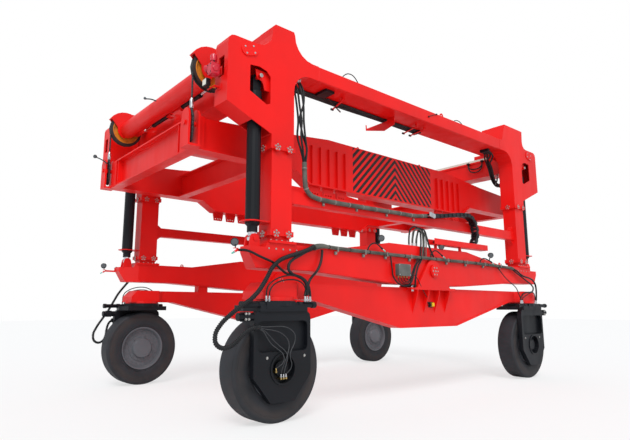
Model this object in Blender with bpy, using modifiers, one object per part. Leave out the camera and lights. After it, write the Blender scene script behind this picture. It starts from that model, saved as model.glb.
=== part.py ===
# Straddle carrier with telescopic legs and a rope-hung load frame, in metres, +Z up.
# X runs along the machine, Y across it, Z = 0 is the ground under the tyres.
# The near side is at -Y, the far side at +Y, the left end at -X and the right end at +X.
import math

import bmesh
import bpy
from mathutils import Matrix, Vector

for old in list(bpy.data.objects):
    bpy.data.objects.remove(old, do_unlink=True)

# Wheels and knuckles
WHEEL_RADIUS = 0.685
WHEEL_WIDTH = 0.350
WHEEL_X = 3.300
WHEEL_Y = 2.194
RIM_RADIUS = 0.400
HUB_RADIUS = 0.170
SPINDLE_RADIUS = 0.090
BEARING_GAP = 0.0009
TYRE_STEPS = 24
CHEEK_GAP = 0.015
CHEEK_THICK = 0.090
CHEEK_HALF = 0.455
CHEEK_WEB = 0.020
SLEW_RADIUS = 0.330
SLEW_HIGH = 0.0545
SLEW_OUT = 0.266
TURNTABLE_Z = 2 * WHEEL_RADIUS + 0.035
TURNTABLE_THICK = 0.080

ROUND_STEPS = 16

# Heights of the lower side, from the turntable up
WALK_END_BOTTOM = TURNTABLE_Z + TURNTABLE_THICK + SLEW_HIGH + 0.0305
WALK_TOP = WALK_END_BOTTOM + 0.214
WALK_MID_BOTTOM = WALK_END_BOTTOM - 0.444
PIVOT_Z = WALK_TOP + 0.290
SILL_MID_BOTTOM = WALK_TOP + 0.051
SILL_END_BOTTOM = SILL_MID_BOTTOM + 0.120
SILL_TOP = SILL_MID_BOTTOM + 0.465
SILL_HUMP = SILL_TOP + 0.190
TIE_Z = (SILL_HUMP + 0.410, SILL_HUMP + 0.590)

# Legs: an outer sleeve in each knee, a middle sleeve and an inner mast
LEG_X = 3.268
LEG_Y = 2.223
LEG_HALF_X = 0.195
LEG_HALF_Y = 0.161
LEG_WALL = 0.012
STAGE_GAP = 0.008
PAD_GAP = 0.0008
SLEEVE_MOUTH = TIE_Z[1] + 0.520
SLEEVE_CEILING = 5.220
MIDDLE_MOUTH = SILL_TOP + 0.105
MIDDLE_TOP = 5.180
MAST_TOP = 5.030
COLLAR_HIGH = 0.070
COLLAR_PROUD = 0.014

# Knees, side beams and end beams of the portal
KNEE_TOP = 5.447
BEAM_TOP = 5.060
BEAM_BOTTOM = 4.829
BEAM_DEEP = 0.550
KNEE_END_X = 2.600
KNEE_FILLET = 0.300
CAP_OVERHANG = 0.127
WING_X = 4.180
WING_TOP = 5.040
WING_LOW = 4.100
WING_ROOT = 3.800
WING_PLATE = 0.022
END_BEAM_X = (3.330, 3.715)
END_BEAM_LOW = 4.500
END_BEAM_Z = (END_BEAM_LOW, END_BEAM_LOW + 0.410)
RAIL_HIGH = 0.050
RAIL_WIDE = 0.070

# Lift cylinders, one outboard of each leg
LIFT_X = 3.645
BARREL_RADIUS = 0.100
BARREL_BORE = 0.080
BARREL_Z = (MIDDLE_MOUTH + 0.035, 4.400)
GLAND_HIGH = 0.110
ROD_RADIUS = 0.055
ROD_CLEARANCE = 0.0008
PISTON_RADIUS = 0.0792
PISTON_HIGH = 0.150
ROD_TOP = 4.300
BARREL_PIN_Z = 4.600
ROD_EYE_Z = SILL_TOP + 0.050
EYE_RADIUS = 0.062
PIN_RADIUS = 0.030
GUIDE_RADIUS = 0.165

# Sills, tie beams and walking beams of the lower sides
SILL_HALF = 3.800
SILL_SLOPE_X = (0.950, 2.770)
SILL_LIP = 0.012
SILL_SKEW = 0.003
LOCK_X = (1.890, 2.110)
MAST_FLANGE = 0.035
TIE_HALF_Y = 0.070
WALK_HALF = 3.600
WALK_BOX_X = 3.050
WALK_BOX_HALF_Y = 0.236
WALK_LIP = 0.013
WALK_KINK_OUT = 2.702
WALK_KINK_IN = 0.782
WALK_HALF_Y = 0.110
EAR_THICK = 0.038
EAR_GAP = 0.006
EAR_RADIUS = 0.200
PIVOT_RADIUS = 0.075

# Load frame, carriages and sheaves
FRAME_OUT_Y = 1.600
FRAME_BEAM_DEEP = 0.170
FRAME_END_TOP = 4.100
FRAME_MID_TOP = 4.300
FRAME_END_BOTTOM = 3.620
FRAME_MID_BOTTOM = 3.430
FRAME_FLANGE = 0.025
FRAME_LIP = 0.060
BRACKET_X = (1.400, 1.700, 2.000)
RIB_X = (1.330, 1.520, 1.710, 1.900, 2.090)
END_X = (4.100, 4.280)
CROSS_X = 2.900
ROPE_X = 4.300
ROPE_Y = 1.640
ROPE_RADIUS = 0.014
LUG_PIN_Z = 3.960
LUG_PIN_RADIUS = 0.035
SHEAVE_RADIUS = 0.300
SHEAVE_PITCH = 0.270
SHEAVE_DROP = 0.1603
SHEAVE_WIDE = 0.070
AXLE_RADIUS = 0.040
HOOD_RADIUS = 0.345
CHEEK_TAIL = 3.625
TUBE_RADIUS = 0.150
TUBE_X = 4.010

TOUCH = 0.0003
SEAM = 0.003

parts = bpy.data.collections.new("straddle_carrier")
tools = bpy.data.collections.new("cutters")
bpy.context.scene.collection.children.link(parts)
bpy.context.scene.collection.children.link(tools)

# name, colour, roughness, metallic
FINISHES = {
    "red_paint": ((0.80, 0.010, 0.008), 0.38, 0.0),
    "black_paint": ((0.012, 0.013, 0.018), 0.45, 0.0),
    "tyre_rubber": ((0.022, 0.024, 0.030), 0.85, 0.0),
    "rim_grey": ((0.28, 0.30, 0.33), 0.45, 0.3),
    "sheave_yellow": ((0.75, 0.28, 0.01), 0.45, 0.0),
    "rail_cream": ((0.72, 0.68, 0.56), 0.40, 0.2),
    "chrome_rod": ((0.75, 0.76, 0.78), 0.12, 1.0),
    "rope_steel": ((0.05, 0.055, 0.06), 0.50, 0.7),
}


def finish(name):
    colour, roughness, metallic = FINISHES[name]
    material = bpy.data.materials.get(name) or bpy.data.materials.new(name)
    material.use_nodes = True
    shader = material.node_tree.nodes["Principled BSDF"]
    shader.inputs["Base Color"].default_value = (*colour, 1.0)
    shader.inputs["Roughness"].default_value = roughness
    shader.inputs["Metallic"].default_value = metallic
    return material


def as_tool(name, mesh):
    """Put a mesh among the tools, hidden, ready to be cut with or joined on."""
    tool = bpy.data.objects.new(name, mesh)
    tools.objects.link(tool)
    tool.hide_render = True
    tool.display_type = "WIRE"
    return tool


def as_part(tool, name, material, origin=(0.0, 0.0, 0.0)):
    """Make a tool the base of a named piece with its origin on its joint."""
    tools.objects.unlink(tool)
    parts.objects.link(tool)
    tool.hide_render = False
    tool.display_type = "TEXTURED"
    tool.name = name
    tool.data.name = name
    tool.data.materials.append(finish(material))
    shift = Vector(origin) - tool.location
    tool.data.transform(Matrix.Translation(-shift))
    tool.location = origin
    return tool


def box(x, y, z):
    """A block between two values of each axis."""
    mesh = bpy.data.meshes.new("block")
    form = bmesh.new()
    low = Vector((min(x), min(y), min(z)))
    high = Vector((max(x), max(y), max(z)))
    size = Matrix.Diagonal((*(high - low), 1.0))
    bmesh.ops.create_cube(form, size=1.0, matrix=Matrix.Translation((low + high) / 2) @ size)
    form.to_mesh(mesh)
    form.free()
    return as_tool("block", mesh)


def round_bar(start, end, radius, sides=20, end_radius=None):
    """A cylinder, or a cone, from start to end."""
    start = Vector(start)
    end = Vector(end)
    way = end - start
    turn = way.to_track_quat("Z", "Y").to_matrix().to_4x4()
    mesh = bpy.data.meshes.new("bar")
    form = bmesh.new()
    bmesh.ops.create_cone(
        form, cap_ends=True, segments=sides, radius1=radius,
        radius2=radius if end_radius is None else end_radius, depth=way.length,
        matrix=Matrix.Translation((start + end) / 2) @ turn)
    form.to_mesh(mesh)
    form.free()
    bar = as_tool("bar", mesh)
    bar.data.shade_smooth()
    bar.data.set_sharp_from_angle(angle=math.radians(35))
    return bar


def plate(outline, spread, normal="Y"):
    """A flat outline filled and made thick between two places along its normal.

    The outline's pairs are (x, z) for a normal along Y, (y, z) along X and (x, y) along Z.
    """
    curve = bpy.data.curves.new("plate", "CURVE")
    curve.dimensions = "2D"
    curve.fill_mode = "BOTH"
    curve.extrude = abs(spread[1] - spread[0]) / 2
    spline = curve.splines.new("POLY")
    spline.points.add(len(outline) - 1)
    for point, (across, up) in zip(spline.points, outline):
        point.co = (across, up, 0.0, 1.0)
    spline.use_cyclic_u = True
    guide = bpy.data.objects.new("plate", curve)
    tools.objects.link(guide)
    turns = {"Y": Matrix.Rotation(math.pi / 2, 4, "X"),
             "X": Matrix.Rotation(math.pi / 2, 4, "Z") @ Matrix.Rotation(math.pi / 2, 4, "X"),
             "Z": Matrix.Identity(4)}
    along = {"X": (1, 0, 0), "Y": (0, 1, 0), "Z": (0, 0, 1)}[normal]
    guide.matrix_world = Matrix.Translation(Vector(along) * (spread[0] + spread[1]) / 2) @ turns[normal]
    return solid_from(guide)


def solid_from(guide):
    """Turn a curve object into a closed mesh in its place and remove the curve."""
    bpy.context.view_layer.update()
    seen = guide.evaluated_get(bpy.context.evaluated_depsgraph_get())
    mesh = bpy.data.meshes.new_from_object(seen)
    mesh.materials.clear()
    form = bmesh.new()
    form.from_mesh(mesh)
    bmesh.ops.remove_doubles(form, verts=form.verts, dist=0.00005)
    form.to_mesh(mesh)
    form.free()
    mesh.transform(guide.matrix_world)
    bpy.data.objects.remove(guide, do_unlink=True)
    return as_tool("solid", mesh)


def turned(profile, centre, axis="Y", steps=24):
    """Turn a profile of (radius, along) pairs about an axis: a ring, or a solid if it ends on the axis."""
    mesh = bpy.data.meshes.new("profile")
    points = [(radius, 0.0, along) for radius, along in profile]
    count = len(points)
    edges = [(i, i + 1) for i in range(count - 1)]
    if profile[0][0] > 0.0:
        edges.append((count - 1, 0))
    mesh.from_pydata(points, edges, [])
    tool = as_tool("turned", mesh)
    screw = tool.modifiers.new("turn", "SCREW")
    screw.steps = steps
    screw.render_steps = steps
    screw.use_merge_vertices = True
    screw.merge_threshold = 0.00005
    screw.use_smooth_shade = True
    turn = {"X": Matrix.Rotation(math.pi / 2, 4, "Y"), "Y": Matrix.Rotation(-math.pi / 2, 4, "X"),
            "Z": Matrix.Identity(4)}[axis]
    tool.matrix_world = Matrix.Translation(centre) @ turn
    bpy.context.view_layer.update()
    seen = tool.evaluated_get(bpy.context.evaluated_depsgraph_get())
    solid = bpy.data.meshes.new_from_object(seen)
    solid.transform(tool.matrix_world)
    form = bmesh.new()
    form.from_mesh(solid)
    bmesh.ops.recalc_face_normals(form, faces=form.faces)
    form.to_mesh(solid)
    form.free()
    solid.set_sharp_from_angle(angle=math.radians(35))
    bpy.data.objects.remove(tool, do_unlink=True)
    return as_tool("turned", solid)


def change(piece, how, others):
    """Join other solids to a piece, or cut them from it, one Boolean each."""
    for other in others:
        step = piece.modifiers.new(how.lower(), "BOOLEAN")
        step.operation = how
        step.solver = "EXACT"
        step.object = other
    return piece


def soften(piece, width=0.008, angle=40):
    """Round a piece's sharp edges a little."""
    bevel = piece.modifiers.new("edges", "BEVEL")
    bevel.width = width
    bevel.segments = 1
    bevel.limit_method = "ANGLE"
    bevel.angle_limit = math.radians(angle)
    return piece


def arc(centre, radius, start, end, count):
    """Points on an arc from one angle to another, in degrees, both ends included."""
    turn = [math.radians(start + (end - start) * i / (count - 1)) for i in range(count)]
    return [(centre[0] + radius * math.cos(t), centre[1] + radius * math.sin(t)) for t in turn]


def flip(outline, sign):
    """Mirror an outline's first coordinate when sign is -1."""
    return [(across * sign, up) for across, up in outline]


def centred(middle, half):
    return (middle - half, middle + half)


# name, sign of X, sign of Y
CORNERS = (("near_left", -1, -1), ("near_right", 1, -1), ("far_left", -1, 1), ("far_right", 1, 1))
SIDES = (("near", -1), ("far", 1))
ENDS = (("left", -1), ("right", 1))

leg_out = LEG_X + LEG_HALF_X
leg_in = LEG_X - LEG_HALF_X
face_out = LEG_Y + LEG_HALF_Y
face_in = LEG_Y - LEG_HALF_Y
beam_in = face_out - BEAM_DEEP
cap_end = leg_out + CAP_OVERHANG
cap_low = BEAM_TOP + SEAM
rail_top = END_BEAM_Z[1] + TOUCH + RAIL_HIGH
sheave_z = rail_top - SHEAVE_DROP


def leg_block(sx, sy, inset, z):
    """A block about a leg's axis, set in from the outer sleeve's faces on all four sides."""
    return box(centred(sx * LEG_X, LEG_HALF_X - inset), centred(sy * LEG_Y, LEG_HALF_Y - inset), z)


def cap_outline(sx, inset=0.0):
    """The knee's cap, from the side beam's top round to the leg's outer face, set in a little all round.

    At the left end it is narrow with a hollow gusset down to the beam, at the right end it is wide and overhangs.
    """
    top = KNEE_TOP - inset
    side = leg_out - inset
    if sx < 0:
        gusset = arc((2.720, BEAM_TOP + 0.340), 0.340 + inset, -90, 0, 6)
        return gusset + [(3.080 + inset, top), (side - 0.050, top), (side, top - 0.050)]
    return [(2.710 + inset, BEAM_TOP - inset), (2.840 + inset, top), (cap_end - inset + 0.015, top),
            (cap_end - inset, BEAM_TOP + 0.130), (cap_end - inset, cap_low + inset), (side, cap_low + inset)]


def knee(name, sx, sy):
    """A knee: the outer sleeve of one leg under a cap as deep as the side beam."""
    fillet = arc((leg_in - KNEE_FILLET, BEAM_BOTTOM - KNEE_FILLET), KNEE_FILLET, 0, 90, 7)
    sleeve = [(KNEE_END_X, BEAM_TOP)] + cap_outline(sx) + [(leg_out, SLEEVE_MOUTH), (leg_in, SLEEVE_MOUTH)] + fillet
    sleeve += [(KNEE_END_X, BEAM_BOTTOM)]
    deep = [(KNEE_END_X + SEAM, BEAM_TOP - SEAM)] + cap_outline(sx, SEAM)
    deep += [(leg_out - SEAM, BEAM_BOTTOM + SEAM), (KNEE_END_X + SEAM, BEAM_BOTTOM + SEAM)]
    body = plate(flip(sleeve, sx), (sy * face_in, sy * face_out))
    inward = plate(flip(deep, sx), (sy * beam_in, sy * LEG_Y))
    collar = leg_block(sx, sy, -COLLAR_PROUD, (SLEEVE_MOUTH, SLEEVE_MOUTH + COLLAR_HIGH))
    mouth = leg_block(sx, sy, LEG_WALL + STAGE_GAP - PAD_GAP, (SLEEVE_MOUTH - 0.1, SLEEVE_MOUTH + 0.1))
    bore = leg_block(sx, sy, LEG_WALL, (SLEEVE_MOUTH + COLLAR_HIGH, SLEEVE_CEILING))
    change(body, "UNION", [inward, collar])
    change(body, "DIFFERENCE", [mouth, bore])
    return as_part(body, "knee_" + name, "red_paint")


def wing_outline(sx):
    """The outboard wing seen from the side, its top scooped up to the knee's cap."""
    root = leg_out + TOUCH
    corner = arc((WING_X - 0.100, WING_TOP - 0.100), 0.100, 90, 0, 4) + [(WING_X, WING_LOW), (root, WING_ROOT)]
    if sx < 0:
        return arc((root + 0.250, WING_TOP + 0.250), 0.250, 180, 270, 5) + corner
    edge = cap_end + TOUCH
    return (arc((edge + 0.150, WING_TOP + 0.150), 0.150, 180, 270, 4) + corner
            + [(root, cap_low - TOUCH), (edge, cap_low - TOUCH)])


def wing(name, sx, sy):
    """The hollow wing on a knee's outer end that a lift cylinder hangs in, with its pin, window and cover."""
    outer = sy * face_out
    body = plate(flip(wing_outline(sx), sx), (sy * face_in, outer))
    floor = WING_LOW - (WING_X - LIFT_X - 0.140) * (WING_LOW - WING_ROOT) / (WING_X - leg_out)
    shelf = WING_X - WING_PLATE
    inside = leg_out + LEG_WALL
    pocket = plate(
        flip([(inside, WING_ROOT - 0.3), (inside, WING_TOP - 0.09), (shelf, WING_TOP - 0.09),
              (shelf, WING_LOW + WING_PLATE), (LIFT_X + 0.140, floor + WING_PLATE),
              (LIFT_X + 0.140, WING_ROOT - 0.3)], sx),
        centred(sy * LEG_Y, LEG_HALF_Y - LEG_WALL))
    window = plate(
        flip([(3.490, 4.230), (3.550, 4.200), (3.830, 4.330), (3.830, 4.700), (3.680, 4.720),
              (3.560, 4.690), (3.490, 4.620)], sx),
        (sy * (face_out - 0.030), sy * (face_out + 0.030)))
    hatch = box((sx * (WING_X - 0.1), sx * (WING_X + 0.1)), centred(sy * LEG_Y, 0.070), (4.480, 4.760))
    pin = round_bar((sx * LIFT_X, sy * (face_in + 0.004), BARREL_PIN_Z),
                    (sx * LIFT_X, sy * (face_out - 0.004), BARREL_PIN_Z), PIN_RADIUS, 16)
    cover = round_bar((sx * 3.840, outer - sy * 0.01, 4.930), (sx * 3.840, outer + sy * 0.012, 4.930),
                      0.090, 20)
    change(body, "DIFFERENCE", [pocket, window, hatch])
    change(body, "UNION", [pin, cover])
    return as_part(body, "wing_" + name, "red_paint")


def side_beam(name, sy):
    """The side beam between two knees."""
    end = KNEE_END_X - TOUCH
    beam = box((-end, end), (sy * beam_in, sy * face_out), (BEAM_BOTTOM, BEAM_TOP))
    return as_part(soften(beam, 0.010), "side_beam_" + name, "red_paint")


def end_beam(name, sx):
    """The cross beam between the two legs of one end, notched round the knees' deep caps."""
    reach = beam_in - TOUCH
    low, high = END_BEAM_Z
    x_in, x_out = END_BEAM_X
    beam = box((sx * x_in, sx * x_out), centred(0.0, face_in - TOUCH), (low, high))
    notches = [box((sx * (x_in - 0.1), sx * (leg_out + TOUCH)), (sy * reach, sy * (face_in + 0.1)),
                   (BEAM_BOTTOM - TOUCH, high + 0.1)) for sy in (-1, 1)]
    side_in = box((sx * (x_in - 0.1), sx * (x_in + 0.022)), (-reach + 0.05, reach - 0.05),
                  (low + 0.030, high - 0.040))
    side_out = box((sx * (x_out - 0.022), sx * (x_out + 0.1)), (-reach + 0.05, reach - 0.05),
                   (low + 0.030, high - 0.040))
    change(beam, "DIFFERENCE", [side_in, side_out] + notches)
    return as_part(beam, "end_beam_" + name, "red_paint")


def shift_rails(name, sx):
    """The pale rail that the carriage slides on, along the top of an end beam."""
    middle = sx * sum(END_BEAM_X) / 2
    low = END_BEAM_Z[1] + TOUCH
    reach = beam_in - 0.020
    base = box(centred(middle, 0.190), (-reach, reach), (low, low + 0.014))
    strips = [box(centred(middle + side * 0.150, RAIL_WIDE / 2), (-reach, reach), (low + 0.007, low + RAIL_HIGH))
              for side in (-1, 1)]
    change(base, "UNION", strips)
    return as_part(base, "shift_rails_" + name, "rail_cream")


def barrel(name, sx, sy):
    """A lift cylinder's barrel, hung by its eye from the pin in the wing."""
    x = sx * LIFT_X
    y = sy * LEG_Y
    low, high = BARREL_Z
    neck = BARREL_RADIUS * 0.72
    profile = [
        (0.0, high), (BARREL_RADIUS, high), (BARREL_RADIUS, low + GLAND_HIGH), (neck, low + GLAND_HIGH - 0.030),
        (neck, low), (ROD_RADIUS + ROD_CLEARANCE, low), (ROD_RADIUS + ROD_CLEARANCE, low + GLAND_HIGH),
        (BARREL_BORE, low + GLAND_HIGH), (BARREL_BORE, high - 0.060), (0.0, high - 0.060)]
    body = turned(profile, (x, y, 0.0), "Z", ROUND_STEPS)
    cheek = box(centred(x, 0.062), centred(y, 0.050), (high - 0.02, BARREL_PIN_Z))
    ring = round_bar((x, y - 0.050, BARREL_PIN_Z), (x, y + 0.050, BARREL_PIN_Z), 0.0625, 16)
    hole = round_bar((x, y - 0.2, BARREL_PIN_Z), (x, y + 0.2, BARREL_PIN_Z), PIN_RADIUS + TOUCH, 16)
    change(body, "UNION", [cheek, ring])
    change(body, "DIFFERENCE", [hole])
    return as_part(body, "cylinder_barrel_" + name, "black_paint")


def lift_rod(name, sx, sy):
    """A lift cylinder's rod with its piston, and the eye that is pinned to the sill."""
    x = sx * LIFT_X
    y = sy * LEG_Y
    foot = ROD_EYE_Z + 0.078
    profile = [(0.0, foot), (ROD_RADIUS, foot), (ROD_RADIUS, ROD_TOP - PISTON_HIGH),
               (PISTON_RADIUS, ROD_TOP - PISTON_HIGH), (PISTON_RADIUS, ROD_TOP), (0.0, ROD_TOP)]
    body = turned(profile, (x, y, 0.0), "Z", ROUND_STEPS)
    neck = box(centred(x, 0.045), centred(y, 0.038), (ROD_EYE_Z, foot + 0.010))
    eye = round_bar((x, y - 0.040, ROD_EYE_Z), (x, y + 0.040, ROD_EYE_Z), EYE_RADIUS, 16)
    hole = round_bar((x, y - 0.2, ROD_EYE_Z), (x, y + 0.2, ROD_EYE_Z), PIN_RADIUS + TOUCH, 16)
    change(body, "UNION", [neck, eye])
    change(body, "DIFFERENCE", [hole])
    return as_part(body, "lift_rod_" + name, "chrome_rod")


def middle_frame(name, sy):
    """The two middle sleeves of one side with the tie beam between them."""
    inset = LEG_WALL + STAGE_GAP
    z = (MIDDLE_MOUTH, MIDDLE_TOP)
    left = leg_block(-1, sy, inset, z)
    right = leg_block(1, sy, inset, z)
    inner_face = LEG_X - LEG_HALF_X + inset
    tie = box((-inner_face - 0.005, inner_face + 0.005), centred(sy * LEG_Y, TIE_HALF_Y), TIE_Z)
    joined = [right, tie]
    for sx in (-1, 1):
        joined.append(leg_block(sx, sy, inset - COLLAR_PROUD - 0.006, (MIDDLE_MOUTH, MIDDLE_MOUTH + COLLAR_HIGH)))
        for level, way in ((TIE_Z[1], 1), (TIE_Z[0], -1)):
            root = inner_face + 0.005
            gusset = [(root, level + way * 0.120), (root - 0.045, level + way * 0.060),
                      (root - 0.120, level), (root - 0.120, level - way * 0.02), (root, level - way * 0.02)]
            joined.append(plate(flip(gusset, sx), centred(sy * LEG_Y, 0.050)))
        guide = ([(inner_face + 2 * (LEG_HALF_X - inset) - 0.008, -0.115)] + arc((LIFT_X, 0.0), GUIDE_RADIUS, -70, 70, 7)
                 + [(inner_face + 2 * (LEG_HALF_X - inset) - 0.008, 0.115)])
        joined.append(plate([(sx * across, sy * LEG_Y + up) for across, up in guide],
                            (MIDDLE_MOUTH + 0.170, MIDDLE_MOUTH + 0.184), "Z"))
    change(left, "UNION", joined)
    change(left, "DIFFERENCE", [
        round_bar((sx * LIFT_X, sy * LEG_Y, MIDDLE_MOUTH), (sx * LIFT_X, sy * LEG_Y, MIDDLE_MOUTH + 0.4),
                  BARREL_RADIUS + 0.008, 16) for sx in (-1, 1)])
    bore = LEG_WALL * 2 + STAGE_GAP
    for sx in (-1, 1):
        change(left, "DIFFERENCE", [
            leg_block(sx, sy, bore, (MIDDLE_MOUTH + COLLAR_HIGH, MIDDLE_TOP + 0.1)),
            leg_block(sx, sy, bore + STAGE_GAP - PAD_GAP, (MIDDLE_MOUTH - 0.1, MIDDLE_MOUTH + 0.1))])
    return as_part(left, "middle_frame_" + name, "red_paint")


def mast(name, sx, sy):
    """An inner mast, bolted to the sill by the flange at its foot."""
    inset = (LEG_WALL + STAGE_GAP) * 2
    foot = SILL_TOP + TOUCH
    post = leg_block(sx, sy, inset, (foot + 0.01, MAST_TOP))
    core = leg_block(sx, sy, inset + LEG_WALL, (foot + 0.10, MAST_TOP + 0.1))
    flange = box(centred(sx * LEG_X, LEG_HALF_X + 0.030), centred(sy * LEG_Y, LEG_HALF_Y + 0.030),
                 (foot, foot + MAST_FLANGE))
    change(post, "UNION", [flange])
    change(post, "DIFFERENCE", [core])
    return as_part(post, "mast_" + name, "red_paint")


def sill(name, sy):
    """The box beam under two masts, with a clevis at each end for a lift cylinder's rod.

    The pin that the walking beam's ears turn on is welded through its middle, with a cap at each end.
    """
    half = [(SILL_HALF, SILL_TOP - 0.060), (SILL_HALF, 2.160), (SILL_HALF - 0.120, SILL_END_BOTTOM),
            (SILL_SLOPE_X[1], SILL_END_BOTTOM - SILL_SKEW), (SILL_SLOPE_X[0], SILL_MID_BOTTOM)]
    top = [(SILL_HALF - 0.260, SILL_TOP - 0.060), (SILL_HALF - 0.290, SILL_TOP), (2.300, SILL_TOP), (1.100, SILL_HUMP)]
    outline = half + [(-x, z) for x, z in reversed(half)] + [(-x, z) for x, z in top] + list(reversed(top))
    body = plate(outline, (sy * face_in, sy * face_out))
    joined = []
    cuts = []
    for sx in (-1, 1):
        for offset in (-0.058, 0.058):
            ear = arc((LIFT_X, ROD_EYE_Z), 0.070, 0, 180, 7) + [(LIFT_X - 0.090, SILL_TOP - 0.080),
                                                               (LIFT_X + 0.090, SILL_TOP - 0.080)]
            joined.append(plate(flip(ear, sx), centred(sy * LEG_Y + offset, 0.014)))
        joined.append(round_bar((sx * LIFT_X, sy * LEG_Y - 0.085, ROD_EYE_Z),
                                (sx * LIFT_X, sy * LEG_Y + 0.085, ROD_EYE_Z), PIN_RADIUS, 16))
        cuts.append(box((sx * (LIFT_X - 0.085), sx * (LIFT_X + 0.085)), centred(sy * LEG_Y, 0.042),
                        (ROD_EYE_Z - EYE_RADIUS - 0.006, SILL_TOP + 0.1)))
        nose = [(3.450, face_in - 0.001), (SILL_HALF + 0.1, face_in + 0.155), (SILL_HALF + 0.1, face_in - 0.1),
                (3.452, face_in - 0.1)]
        cuts.append(plate([(sx * across, sy * up) for across, up in nose], (SILL_MID_BOTTOM - 0.1, SILL_TOP + 0.2), "Z"))
        for reach, spread in ((SILL_HALF - 0.122, (face_out - 0.02, face_out + SILL_LIP)),
                              (3.400, (face_in - SILL_LIP, face_in + 0.02))):
            lip = [(0.700, SILL_MID_BOTTOM + 0.008), (SILL_SLOPE_X[0], SILL_MID_BOTTOM + 0.008),
                   (SILL_SLOPE_X[1], SILL_END_BOTTOM - SILL_SKEW + 0.008), (reach, SILL_END_BOTTOM + 0.010)]
            lip += [(x, z + 0.020) for x, z in reversed(lip)]
            joined.append(plate(flip(lip, sx), (sy * spread[0], sy * spread[1])))
    reach = EAR_GAP + EAR_THICK + 0.008
    for face, way in ((face_in - reach, -1), (face_out + reach, 1)):
        joined.append(round_bar((0.0, sy * LEG_Y, PIVOT_Z), (0.0, sy * face, PIVOT_Z), PIVOT_RADIUS, 20))
        joined.append(round_bar((0.0, sy * (face - way * 0.001), PIVOT_Z), (0.0, sy * (face + way * 0.022), PIVOT_Z),
                                PIVOT_RADIUS + 0.035, 20))
    change(body, "DIFFERENCE", cuts)
    change(body, "UNION", joined)
    return as_part(body, "sill_" + name, "red_paint")


def walking_beam(name, sy):
    """The beam that carries two wheels and rocks on the pivot pin, its ears on both faces of the sill."""
    inside = WALK_BOX_X + 0.200
    half = [(inside, WALK_TOP - 0.080), (inside, WALK_END_BOTTOM), (WALK_KINK_OUT, WALK_END_BOTTOM - 0.003),
            (WALK_KINK_IN, WALK_MID_BOTTOM)]
    top = [(inside - 0.040, WALK_TOP)]
    outline = half + [(-x, z) for x, z in reversed(half)] + [(-x, z) for x, z in top] + list(reversed(top))
    y = sy * WHEEL_Y
    body = plate(outline, centred(y, WALK_HALF_Y))
    saddle = box((-0.620, 0.620), (sy * (face_in - EAR_GAP - EAR_THICK), sy * (face_out + EAR_GAP + EAR_THICK)),
                 (WALK_TOP - 0.035, WALK_TOP))
    joined = [saddle]
    low, high = WALK_END_BOTTOM - SEAM, WALK_TOP + SEAM
    for sx in (-1, 1):
        end_box = [(WALK_BOX_X, low), (WALK_BOX_X, high), (WALK_HALF - 0.120, high), (WALK_HALF, low + 0.098), (WALK_HALF, low)]
        joined.append(plate(flip(end_box, sx), centred(y, WALK_BOX_HALF_Y)))
        joined.append(box((sx * (WALK_BOX_X - 0.006), sx * (WALK_HALF + 0.006)), centred(y, WALK_BOX_HALF_Y + WALK_LIP),
                          (low - SEAM, low + 0.022)))
        taper = [(WALK_BOX_X + 0.010, WALK_BOX_HALF_Y - SEAM), (WALK_BOX_X - 0.130, WALK_HALF_Y - SEAM),
                 (WALK_BOX_X - 0.130, SEAM - WALK_HALF_Y), (WALK_BOX_X + 0.010, SEAM - WALK_BOX_HALF_Y)]
        joined.append(plate([(sx * across, y + up) for across, up in taper], (low - 2 * SEAM, WALK_TOP - SEAM), "Z"))
        lip = [(WALK_BOX_X + 0.005, WALK_END_BOTTOM - 2 * SEAM), (WALK_KINK_OUT, WALK_END_BOTTOM - 0.003 - 2 * SEAM),
               (WALK_KINK_IN, WALK_MID_BOTTOM - SEAM), (0.0, WALK_MID_BOTTOM - SEAM)]
        lip += [(x, z + 0.026) for x, z in reversed(lip)]
        joined.append(plate(flip(lip, sx), centred(y, WALK_HALF_Y + WALK_LIP)))
    ear = arc((0.0, PIVOT_Z), EAR_RADIUS, 150, 30, 9) + [(0.470, WALK_TOP - 0.010), (-0.470, WALK_TOP - 0.010)]
    for face, way in ((face_in, -1), (face_out, 1)):
        near_edge = sy * (face + way * EAR_GAP)
        far_edge = sy * (face + way * (EAR_GAP + EAR_THICK))
        joined.append(plate(ear, (near_edge, far_edge)))
        for x in (-0.450, -0.150, 0.150, 0.450):
            root = abs(y) + way * (WALK_HALF_Y - 0.005)
            edge = face + way * (EAR_GAP + EAR_THICK - 0.004)
            rib = [(sy * root, WALK_TOP - 0.030), (sy * edge, WALK_TOP - 0.030),
                   (sy * edge, WALK_TOP - 0.100), (sy * root, WALK_MID_BOTTOM + 0.220)]
            joined.append(plate(rib, centred(x, 0.009), "X"))
    if name == "far":
        for sx in (-1, 1):
            lock = [(x, WALK_TOP - 0.010) for x in LOCK_X] + [(x, sill_low(x) - TOUCH) for x in reversed(LOCK_X)]
            joined.append(plate(flip(lock, sx), centred(y, 0.085)))
    for sx in (-1, 1):
        joined.append(round_bar((sx * WHEEL_X, y, WALK_END_BOTTOM - 0.030), (sx * WHEEL_X, y, WALK_END_BOTTOM + 0.020),
                                SLEW_RADIUS * 0.95, 24))
    bore = round_bar((0.0, sy * (face_in - 0.4), PIVOT_Z), (0.0, sy * (face_out + 0.4), PIVOT_Z),
                     PIVOT_RADIUS + 2 * TOUCH, 20)
    change(body, "UNION", joined)
    change(body, "DIFFERENCE", [bore])
    return as_part(body, "walking_beam_" + name, "red_paint", (0.0, y, PIVOT_Z))


def sill_low(x):
    """The height of the sill's sloping underside at a place along it."""
    return SILL_MID_BOTTOM + (SILL_END_BOTTOM - SILL_SKEW - SILL_MID_BOTTOM) * (x - SILL_SLOPE_X[0]) / (
        SILL_SLOPE_X[1] - SILL_SLOPE_X[0])


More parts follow.
